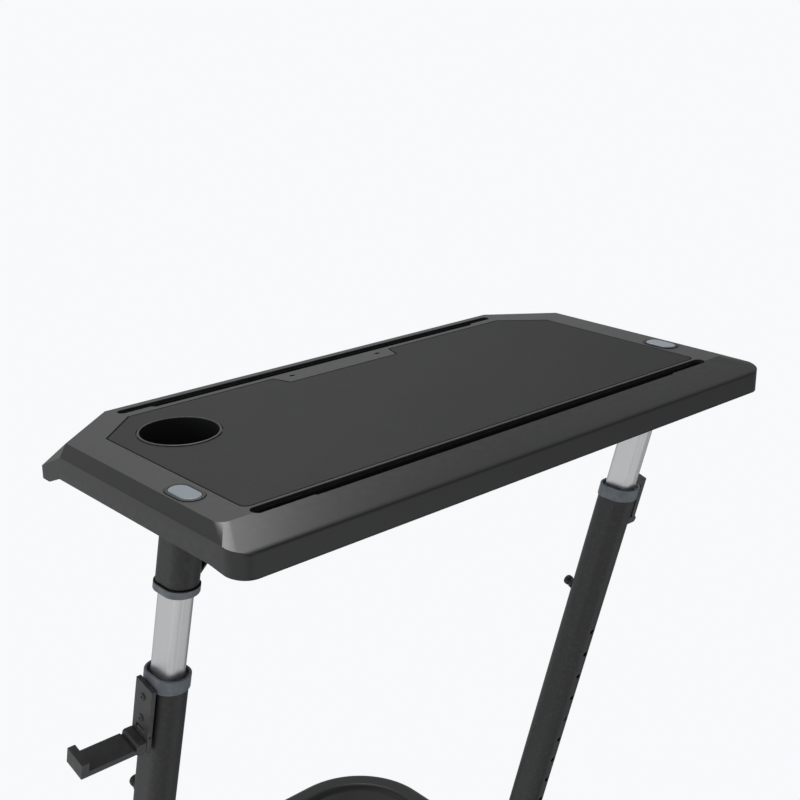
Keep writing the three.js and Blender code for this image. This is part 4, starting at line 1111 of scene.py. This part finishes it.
    def trays(self) -> None:
        """Makes the troughs that close the slots from below."""
        gap, top, bottom = 0.3, -self.tray_sink, -self.tray_bottom
        outlines = zip(self._slots(gap), self._slots(gap + self.tray_wall))
        for slot, (outer, inner) in zip((self.near_slot, self.far_slot), outlines):
            form = Form().loft([flat_ring(outer, bottom), flat_ring(outer, top), flat_ring(inner, top),
                                flat_ring(inner, bottom + self.tray_wall)])
            self.add(f"{slot.name}_slot_trough", form, Finish.LINER, "desktop", f"{slot.name}_slot_tray")

    def button(self, side: Side) -> None:
        """Makes one release button and the bezel round it.

        Args:
            side: The side of the desktop.
        """
        spot = Matrix.Translation((side.value * self.layout.leg_x, self.button_y, 0))
        size, node = (self.button_width, self.button_length), f"button_{side.word}"
        cap = [(3, -12.5), (3, -9.3), (0, -9.3), (0, 0.35), (-0.35, 0.75), (-1.1, 1.02), (-3.0, 1.17),
               (-6.0, 1.2), (-9.0, 1.2)]
        self.add(f"button_cap_{side.word}", Form().loft(ovals(*size, cap, flat_ring, 16)), Finish.BUTTON,
                 node, node, spot=spot)
        rings = ovals(*size, [(0.3, -9), (0.3, 0.35), (0.75, 0.8)], flat_ring, 16)
        rings += ovals(self.bezel_width, self.bezel_length, [(-0.6, 0.8), (-0.1, 0.55), (0, 0.1), (0, -9)],
                       flat_ring, 16)
        self.add(f"button_ring_{side.word}", Form().loft(rings, True), Finish.TRIM, "desktop",
                 f"button_bezel_{side.word}", spot=spot)

    def build(self) -> None:
        """Makes every piece of the desktop."""
        for make in (self.housing, self.mat, self.cup_well, self.trays):
            make()
        self.shop.dress("underside_pan", Finish.LINER)
        for side in Side:
            self.button(side)


# Legs


@dataclass
class Leg(LegAssembly):
    """One telescoping leg; stations run down it."""

    sleeve_width: float = 34.4
    sleeve_length: float = 50.2
    sleeve_top: float = -2.0
    sleeve_end: float = 68.6
    foot_width: float = 38.0
    foot_length: float = 53.6
    foot_gap: float = 0.3
    foot_height: float = 10.5
    # height of the near-black band painted as shade above the collar
    shade_band_height: float = 1.4
    collar_width: float = 39.4
    collar_length: float = 56.0
    collar_top: float = 184.6
    collar_height: float = 19.0
    inner_width: float = 22.6
    inner_length: float = 40.4
    inner_radius: float = 8.0
    inner_wall: float = 2.2
    inner_start: float = 12.0
    inner_end: float = 642.0
    groove_x: float = 2.5
    groove: Sequence[Corner] = ((-0.7, 0), (-0.3, 0.25), (0.3, 0.25), (0.7, 0))
    window_station: float = 602.0
    lower_width: float = 35.8
    lower_length: float = 52.8
    lower_wall: float = 1.6
    lower_start: float = 193.0
    lower_end: float = 938.0
    hole_start: float = 430.0
    hole_pitch: float = 43.0
    hole_count: int = 10
    hole_width: float = 8.0
    bolt_bore: float = 8.2
    bolt_reach: float = 40.0
    bolt_station: float = 908.0
    knob_station: float = 378.0
    knob_facets: int = 40
    knob_lobes: int = 20
    lobe_depth: float = 0.04

    def _inner_outline(self, inset: float = 0.0, grooved: bool = False) -> list[Vector]:
        """Draws the inner tube's outline.

        Args:
            inset: How far it is drawn in.
            grooved: Whether it has fine grooves along its narrow faces.

        Returns:
            The outline's points.
        """
        w, h, r = (size - inset for size in (self.inner_width / 2, self.inner_length / 2, self.inner_radius))
        if not grooved:
            return rectangle(2 * w, 2 * h, r, 12)
        near = [(middle + x, depth - h) for middle in (-self.groove_x, self.groove_x)
                for x, depth in self.groove]
        far = [(-x, -y) for x, y in near]
        return rounded([(-w, -h, r), *near, (w, -h, r), (w, h, r), *far, (-w, h, r)], 12)

    def sleeve(self) -> None:
        """Makes the sleeve under the desktop, the collar at its foot and a near-black band above the collar
        that is painted shade in the recess between collar and sleeve.
        """
        form = Form().loft(ovals(self.sleeve_width, self.sleeve_length, [
            (-2, self.sleeve_top), (0, self.sleeve_top), (0, self.sleeve_end - 0.6),
            (-0.6, self.sleeve_end)]))
        form.cut(Form().bar(self._inner_outline(-0.3), 100, 11.7), Form().bar(circle(11), 60, -40))
        self.add(self.own("leg_sleeve"), form, Finish.TUBE, "desktop", self.own("sleeve"))
        top = self.sleeve_end + self.foot_gap
        shade_band_end, end = top + self.shade_band_height, top + self.foot_height
        collar = self._foot([(-0.5, shade_band_end), (-0.15, shade_band_end + 0.1), (0, shade_band_end + 0.5), (0, end - 1.2),
                             (-0.4, end - 0.35), (-1.2, end)])
        self.add(self.own("sleeve_foot_collar"), collar, Finish.COLLAR, "desktop", self.own("sleeve_collar"))
        # near-black band: painted shade in the recess between the collar's rim and the sleeve
        shade_band = self._foot([(-1.3, top), (-0.4, top + 0.15), (0, top + 0.6), (0, shade_band_end - 0.3), (-0.3, shade_band_end)])
        self.add(self.own("sleeve_foot_shade_band"), shade_band, Finish.LINER, "desktop")

    def _foot(self, sections: Sequence[Corner]) -> Form:
        """Makes a level oval ring, bored for the inner tube, from its growths and stations."""
        form = Form().loft(ovals(self.foot_width, self.foot_length, sections))
        return form.cut(Form().bar(self._inner_outline(-0.3), 160, 0))

    def inner_tube(self) -> None:
        """Makes the drawn aluminium tube."""
        form = Form().bar(self._inner_outline(0, True), self.inner_end, 2)
        form.cut(Form().bar(self._inner_outline(self.inner_wall), self.inner_end + 5, -5),
                 Form().bar(rectangle(80, 80), self.inner_start, -30, level_ring),
                 Form().drill(self.bolt_bore, 0, self.inner_length, self.window_station, "X"))
        self.add(self.own("inner_tube_drawn"), form, Finish.SILVER, "desktop", self.own("inner_tube"))

    def lower_tube(self) -> None:
        """Makes the coated steel tube with its height holes and the boss for the pull knob."""
        start, end, wall = self.lower_start, self.lower_end, self.lower_wall
        form = Form().loft(ovals(self.lower_width, self.lower_length, [
            (0, end), (0, start), (-wall, start), (-wall, end)]), True)
        stations = [self.hole_start + index * self.hole_pitch for index in range(self.hole_count)]
        form.cut(Form().joined(*(Form().drill(self.hole_width, 5, self.lower_length, station, "X")
                                 for station in stations)))
        form.cut(Form().drill(self.bolt_bore, -self.bolt_reach, self.bolt_reach, self.bolt_station, "Y"))
        seat = turned((0, self.lower_length / 2, -self.knob_station), -1, "X")
        boss = [(7.5, -0.6), (7.5, 4.4), (7.1, 4.9), (6.6, 5.0), (3.6, 5.0), (3.4, 4.8), (3.4, -0.6)]
        weld = [(7.3, -0.4), (8.3, -0.4), (8.0, 0.35), (7.3, 0.9)]
        form.joined(*(Form().spin(ring, self.knob_facets, True).moved(seat) for ring in (boss, weld)))
        self.add(self.own("lower_tube_coated"), form, Finish.TUBE, "base", self.own("lower_tube"))

    def lower_collar(self) -> None:
        """Makes the open-topped collar and the guide inside it."""
        top, foot = self.collar_top, self.collar_top + self.collar_height
        lower, collar = (self.lower_width, self.lower_length), (self.collar_width, self.collar_length)
        form = Form().loft(ovals(*collar, [
            (-2.6, top + 0.2), (-2.2, top), (-0.7, top), (-0.2, top + 0.35), (0, top + 1.0), (0, foot - 1.0),
            (-0.3, foot - 0.3), (-1.0, foot), (-1.3, foot), (-1.3, self.lower_start - 0.3),
            (-3.0, top + 6.0)]), True)
        corner = Vector((self.side.value * 6, -self.inner_length / 2))
        tongue = Form().bar([p + corner for p in rectangle(7, 7, 1.0)], top + 30, top - 30)
        inside = -self.lower_wall - 0.3
        guide = Form().loft(ovals(*lower, [(inside, top + 55.0), (inside, top + 9.0)])
                            + ovals(*collar, [(-2.7, top + 8.6), (-2.7, top + 6.0)]))
        guide.cut(Form().bar(self._inner_outline(-0.4), top + 90, top - 40), tongue)
        form.joined(guide)
        self.add(self.own("lower_collar_cap"), form, Finish.COLLAR, "base", self.own("lower_collar"))

    def knob(self) -> None:
        """Makes the pull knob with a ribbed grip."""
        start, grip = self.lower_length / 2 + 5.5, 6.9
        form = Form().spin([
            (2.3, 20.7), (2.8, 21.2), (2.8, start), (5.6, start), (6.2, start + 0.5), (6.2, start + 1.7),
            (7.0, start + 3.0), (7.2, start + 3.6), (7.2, start + 6.8), (6.8, start + 8.4),
            (5.8, start + 9.6), (4.6, start + 10.0)], self.knob_facets)
        for vertex in form.mesh.verts:
            if math.hypot(vertex.co.x, vertex.co.y) > grip:
                angle = math.atan2(vertex.co.y, vertex.co.x)
                lobe = 1 - self.lobe_depth * (0.5 + 0.5 * math.cos(self.knob_lobes * angle))
                vertex.co.x *= lobe
                vertex.co.y *= lobe
        form.moved(turned((0, 0, -self.knob_station), -1, "X"))
        self.add(self.own("pull_knob_grip"), form, Finish.TRIM, self.own("pull_knob"), self.own("pull_knob"))

    def small_parts(self) -> None:
        """Makes the bracket and the lever, and dresses their pin and the hidden mechanism."""
        lever = self.own("clamp_lever")
        self.shop.softened(self.own("leg_bracket"), Finish.TUBE, "desktop", 0.6)
        self.shop.softened(lever, Finish.TRIM, lever, 0.5, clamped=True)
        for node in ("lever_pin", "detent_pin", "push_rod"):
            self.shop.dress(self.own(node), Finish.STEEL)
        self.shop.dress(self.own("detent_plug"), Finish.TRIM)

    def build(self) -> None:
        """Makes every piece of the leg."""
        for make in (self.sleeve, self.inner_tube, self.lower_tube, self.lower_collar, self.knob,
                     self.small_parts):
            make()


# Folding hooks


@dataclass
class Hook(LegAssembly):
    """One folding hook: plate, pin, two screws and the arm."""

    plate_face: float = 26.5
    screw_stations: Corner = (211.0, 240.0)
    screw_y: float = 2.0
    socket_width: float = 3.4

    def screw(self, index: int, station: float) -> None:
        """Makes one button-head screw with a hexagon socket.

        Args:
            index: The screw's number, from above.
            station: Its station down the leg.
        """
        form = Form().spin([(2.3, -9.2), (2.3, -0.2), (4.2, 0.0), (4.2, 0.5), (3.9, 1.0), (3.2, 1.45),
                            (2.2, 1.6), (1.72, 1.6)], 36)
        form.cut(Form().prism(circle(self.socket_width, 6), 0.4, 5))
        out = self.side.value
        form.moved(turned((out * self.plate_face, self.screw_y, -station), out, "Y"))
        self.add(f"{self.own('hook_socket_screw')}_{index}", form, Finish.HOOK, "base",
                 f"{self.own('hook_screw')}_{index}")

    def build(self) -> None:
        """Makes every piece of the hook."""
        arm = self.own("hook_arm")
        self.shop.softened(self.own("hook_plate"), Finish.HOOK, "base", 0.7, 3, clamped=True)
        self.shop.softened(arm, Finish.HOOK, arm, 0.8, 3)
        self.shop.dress(self.own("hook_pin"), Finish.STEEL)
        for index, station in enumerate(self.screw_stations, 1):
            self.screw(index, station)


# Floor frame


@dataclass
class FloorFrame(Assembly):
    """The horseshoe of steel tube with leg sockets, bolts and end caps."""

    width: float = 40.0
    height: float = 45.0
    radius: float = 12.0
    wall: float = 2.0
    bottom: float = 61.0
    near_y: float = -190.0
    far_y: float = 565.0
    bend: float = 118.0
    bend_steps: int = 24
    corner_facets: int = 6
    near_caster_y: float = -150.0
    far_caster: Corner = (262.0, 545.0)
    socket_height: float = 62.0
    bead_wave: float = 0.25

    def __post_init__(self) -> None:
        """Works out the height of the tube's middle."""
        self.middle = self.bottom + self.height / 2

    def caster_spots(self) -> dict[str, Corner]:
        """Returns where the casters stand, by name."""
        spots = {"near": (self.layout.leg_x, self.near_caster_y), "far": self.far_caster}
        return {f"{end}_{side.word}": (side.value * x, y) for end, (x, y) in spots.items() for side in Side}

    def _route(self) -> list[tuple[Vector, Vector]]:
        """Follows the tube from the left foot to the right.

        Returns:
            Points of its middle line and its direction there.
        """
        leg_x = self.layout.leg_x
        bend_x, bend_y = leg_x - self.bend, self.far_y - self.width / 2 - self.bend
        route = [(Vector((-leg_x, self.near_y)), Vector((0, 1)))]
        for out in (-1, 1):
            for step in range(self.bend_steps + 1):
                share = step / self.bend_steps
                angle = (share if out < 0 else 1 - share) * QUARTER
                spot = (out * (bend_x + self.bend * math.cos(angle)), bend_y + self.bend * math.sin(angle))
                route.append((Vector(spot), Vector((math.sin(angle), -out * math.cos(angle)))))
        return route + [(Vector((leg_x, self.near_y)), Vector((0, -1)))]

    def _section(self, inset: float) -> list[Vector]:
        """Returns the tube's section, drawn in by an inset."""
        return rectangle(self.width - 2 * inset, self.height - 2 * inset,
                         self.radius - min(inset, self.radius / 2), self.corner_facets)

    def _tube_ring(self, spot: Vector, tangent: Vector, inset: float) -> list[Vector]:
        """Returns the tube's section at one point of the route."""
        across = Vector((tangent.y, -tangent.x))
        return [Vector((*(spot + across * p.x), self.middle + p.y)) for p in self._section(inset)]

    def tube(self) -> None:
        """Makes the bent tube with its caster races, leg sockets and weld beads."""
        route = self._route()
        form = Form().loft([self._tube_ring(*point, 0) for point in route]
                           + [self._tube_ring(*point, self.wall) for point in reversed(route)], True)
        race = [(5.4, -3.0), (11.5, -3.0), (12.0, -2.5), (12.0, 0.4), (5.4, 0.4)]
        for spot in self.caster_spots().values():
            form.joined(Form().spin(race, 40, True).moved(Matrix.Translation((*spot, self.bottom))))
        form.joined(*(self._socket(side) for side in Side))
        self.add("floor_tube", form, Finish.TUBE, "base", "base_frame")

    def _socket(self, side: Side) -> Form:
        """Makes one leg socket with its bolt hole and weld bead.

        Args:
            side: The leg's side.

        Returns:
            The socket in the floor's frame.
        """
        size, foot = (Leg.lower_width, Leg.lower_length), Leg.lower_end + 0.7
        top = foot - self.socket_height
        form = Form().loft(ovals(*size, [(3.7, foot + 0.5), (3.7, top + 0.8), (3.3, top + 0.2), (2.7, top),
                                         (0.7, top), (0.3, top + 0.4), (0.3, foot + 0.5)]), True)
        form.cut(Form().drill(Leg.bolt_bore, -Leg.bolt_reach, Leg.bolt_reach, Leg.bolt_station, "Y"))
        rings = ovals(*size, [(3.5, foot + 0.4), (6.6, foot + 0.3), (6.4, foot - 0.7), (5.4, foot - 2.0),
                              (4.2, foot - 2.8), (3.5, foot - 3.0)], facets=48)
        for k, ring in enumerate(rings[1:-1], 1):
            for i, point in enumerate(ring):
                point.z += self.bead_wave * math.sin(i * 2.1 + k)
        form.joined(Form().loft(rings, True))
        return form.moved(self.place().inverted() @ self.layout.leg(side))

    def end_cap(self, side: Side) -> None:
        """Makes the cap that closes a foot's near end.

        Args:
            side: The foot's side.
        """
        front, out = self.near_y - 0.3, side.value * self.layout.leg_x
        shape = [(2.5, front + 16), (2.3, front), (0.0, front), (0.0, front - 2.4), (0.5, front - 3.3),
                 (1.6, front - 3.9), (5.0, front - 4.0)]
        form = Form().loft([[Vector((out + p.x, y, self.middle + p.y)) for p in self._section(inset)]
                            for inset, y in shape])
        self.add(f"foot_cap_{side.word}", form, Finish.TRIM, "base", f"base_end_cap_{side.word}")

    def bolt(self, side: Side) -> None:
        """Makes the bolt through a leg socket, with washers and a nut.

        Args:
            side: The leg's side.
        """
        form = Form().spin([(3.8, -21.2), (3.8, 21.2)], 32)
        for low in (22.2, -25.6):
            form.joined(Form().spin([(6.0, low), (6.5, low + 0.5), (6.5, low + 2.9), (6.0, low + 3.4)], 6))
        for z in (21.1, -22.1):
            form.joined(Form().spin([(4.0, z), (7.8, z), (7.8, z + 1.0), (4.0, z + 1.0)], 32, True))
        form.moved(turned((0, 0, -Leg.bolt_station), 1, "Y"))
        self.shop.piece(f"socket_bolt_{side.word}", form, Finish.STEEL, "base", f"leg_bolt_{side.word}",
                        place=self.layout.leg(side))

    def build(self) -> None:
        """Makes every piece of the floor frame."""
        self.tube()
        for side in Side:
            self.end_cap(side)
            self.bolt(side)


# Casters


@dataclass
class Caster(Assembly):
    """One swivelling caster: fork, wheel with a soft tread, and a brake pedal where it has one."""

    name: str
    spot: Corner
    braked: bool
    trail: float = 21.0
    wheel_radius: float = 25.0
    wheel_facets: int = 64
    spokes: int = 5
    spoke_x: float = 11.3

    def _wheel_ring(self, near: Sequence[Corner]) -> Form:
        """Returns the ring whose profile has this half and its mirror image."""
        profile = [(radius, -z) for radius, z in near] + list(reversed(near))
        return Form().spin(profile, self.wheel_facets, True)

    def wheel(self) -> None:
        """Makes the hub and the tread of the wheel."""
        body = f"wheel_{self.name}"
        axle = turned((self.spot[0], self.spot[1] - self.trail, self.wheel_radius), 1, "Y")
        tread = self._wheel_ring([(21.0, 8.2), (22.6, 8.9), (23.9, 8.0), (24.7, 6.0), (24.95, 4.0),
                                  (24.95, 1.6), (24.2, 1.2)])
        self.add(f"caster_tread_{self.name}", tread, Finish.TREAD, body, f"caster_wheel_{self.name}",
                 spot=axle)
        hub = self._wheel_ring([(3.58, 9.3), (6.8, 9.3), (7.4, 8.8), (7.6, 6.8), (15.0, 6.6), (15.6, 9.0),
                                (16.2, 9.5), (20.6, 9.4), (21.1, 8.8)])
        for index in range(self.spokes):
            spoke = Form().prism(rectangle(8.6, 1.6, 0.5, 4), -8.6, 8.6)
            turn = Matrix.Rotation(2 * math.pi * index / self.spokes, 4, "Z")
            hub.joined(spoke.moved(turn @ Matrix.Translation((self.spoke_x, 0, 0))))
        self.add(f"caster_hub_{self.name}", hub, Finish.HUB, body, spot=axle)

    def build(self) -> None:
        """Makes every piece of the caster."""
        self.wheel()
        self.shop.softened(f"caster_fork_{self.name}", Finish.TRIM, f"caster_{self.name}", 0.6)
        if self.braked:
            self.shop.dress(f"brake_pedal_{self.name}", Finish.COLLAR)


# Studio


@dataclass(frozen=True)
class Lamp:
    """One soft panel light."""

    name: str
    place: Triple
    target: Triple
    size: Corner
    power: float

    def build(self) -> None:
        """Makes the light."""
        data = bpy.data.lights.new(self.name, "AREA")
        data.shape = "RECTANGLE"
        data.size, data.size_y = self.size
        data.energy = self.power
        made = bpy.data.objects.new(self.name, data)
        made.location = self.place
        aim = Vector(self.target) - Vector(self.place)
        made.rotation_euler = aim.to_track_quat("-Z", "Y").to_euler()
        bpy.context.scene.collection.objects.link(made)


@dataclass(frozen=True)
class Lobe:
    """One brighter side of the world."""

    direction: Triple
    span: tuple[float, float]
    share: float
    strength: float


@dataclass(frozen=True)
class Studio:
    """Camera, pale floor and soft light, in metres."""

    camera_place: Corner = (-0.952, -1.22825, 1.5305)
    yaw: float = math.radians(42.0)
    pitch: float = math.radians(18.83)
    roll: float = math.radians(-0.3)
    lens: float = 59.1
    sensor: float = 36.0
    camera_reach: float = 400.0
    backdrop: Triple = (0.9387, 0.9473, 0.9647)
    tint: Triple = (0.98, 0.99, 1.0)
    base_light: float = 0.23
    floor_reach: float = 150.0
    dome_radius: float = 40.0
    lobes: tuple[Lobe, ...] = (
        Lobe((-0.87, 0.45, -0.2), (0.35, 0.95), 1.0, 0.66),
        Lobe((0.5, 0.85, 0.1), (0.6, 1.0), 0.4, 1.02),
        Lobe((0.3, -0.7, -0.65), (0.8, 0.98), 1.0, 0.66),
        Lobe((-0.68, -0.5, -0.5), (0.7, 0.93), 1.0, 0.64),
    )
    lamp: Lamp = Lamp("slope_panel", (0.79, 1.3, 3.36), (-0.37, -0.37, 1.04), (0.6, 0.6), 18.0)

    def camera(self) -> None:
        """Makes the camera at the photograph's viewing angle."""
        data = bpy.data.cameras.new("view_camera")
        data.lens, data.sensor_width, data.clip_end = self.lens, self.sensor, self.camera_reach
        made = bpy.data.objects.new("view_camera", data)
        made.matrix_world = Matrix.Translation(self.camera_place)
        for angle, axis in ((-self.yaw, "Z"), (QUARTER - self.pitch, "X"), (self.roll, "Z")):
            made.matrix_world = made.matrix_world @ Matrix.Rotation(angle, 4, axis)
        bpy.context.scene.collection.objects.link(made)
        bpy.context.scene.camera = made

    def _backdrop(self, name: str, form: bmesh.types.BMesh, shades: bool) -> None:
        """Makes one evenly bright backdrop that only the camera sees.

        Args:
            name: Its name.
            form: Its shape in metres.
            shades: Whether it stops light.
        """
        mesh = bpy.data.meshes.new(name)
        form.to_mesh(mesh)
        form.free()
        mesh.materials.append(Bench(bpy.data.materials.new(f"{name}_paper")).dress({
            "Base Color": (0.0, 0.0, 0.0), "Roughness": 1.0, "Specular IOR Level": 0.0,
            "Emission Color": self.backdrop, "Emission Strength": 1.0}))
        made = bpy.data.objects.new(name, mesh)
        made.visible_diffuse = made.visible_glossy = False
        made.visible_shadow = shades
        bpy.context.scene.collection.objects.link(made)

    def surround(self) -> None:
        """Makes the floor and the dome over it."""
        floor, dome = bmesh.new(), bmesh.new()
        bmesh.ops.create_grid(floor, x_segments=1, y_segments=1, size=self.floor_reach)
        bmesh.ops.create_icosphere(dome, subdivisions=3, radius=self.dome_radius)
        self._backdrop("studio_floor", floor, True)
        self._backdrop("studio_dome", dome, False)

    def light(self) -> None:
        """Makes the world, brighter on some sides, and the panel."""
        world = bpy.data.worlds.new("studio_world")
        bench = Bench(world)
        bpy.context.scene.world = world
        direction = bench.node("ShaderNodeTexCoord", {}, {}, "Generated")
        bench.dress({"Color": self.tint, "Strength": self.base_light})
        shader = Wire(bench, bench.shader.outputs[0])
        for lobe in self.lobes:
            share = bench.along(lobe.direction, direction).step(*lobe.span) * lobe.share
            glow = bench.node("ShaderNodeBackground", {}, {"Color": self.tint, "Strength": lobe.strength})
            shader = bench.node("ShaderNodeMixShader", {}, {"Fac": share, 1: shader, 2: glow})
        bench.feed(bench.output.inputs["Surface"], shader)
        self.lamp.build()

    def build(self) -> None:
        """Sets the whole studio."""
        self.camera()
        self.surround()
        self.light()
        bpy.context.scene.view_settings.view_transform = "Standard"


def main() -> None:
    """Builds the studio and every sub-assembly in order."""
    logging.basicConfig(level=logging.INFO, format="%(message)s")
    Studio().build()
    shop, layout = Workshop(), Layout.of_frame()
    Desktop(shop, layout).build()
    for side in Side:
        Leg(shop, layout, side).build()
        Hook(shop, layout, side).build()
    floor = FloorFrame(shop, layout)
    floor.build()
    for name, spot in floor.caster_spots().items():
        Caster(shop, layout, name, spot, name.startswith("near")).build()
    LOG.info("%d pieces made", shop.count)


if __name__ == "__main__":
    main()
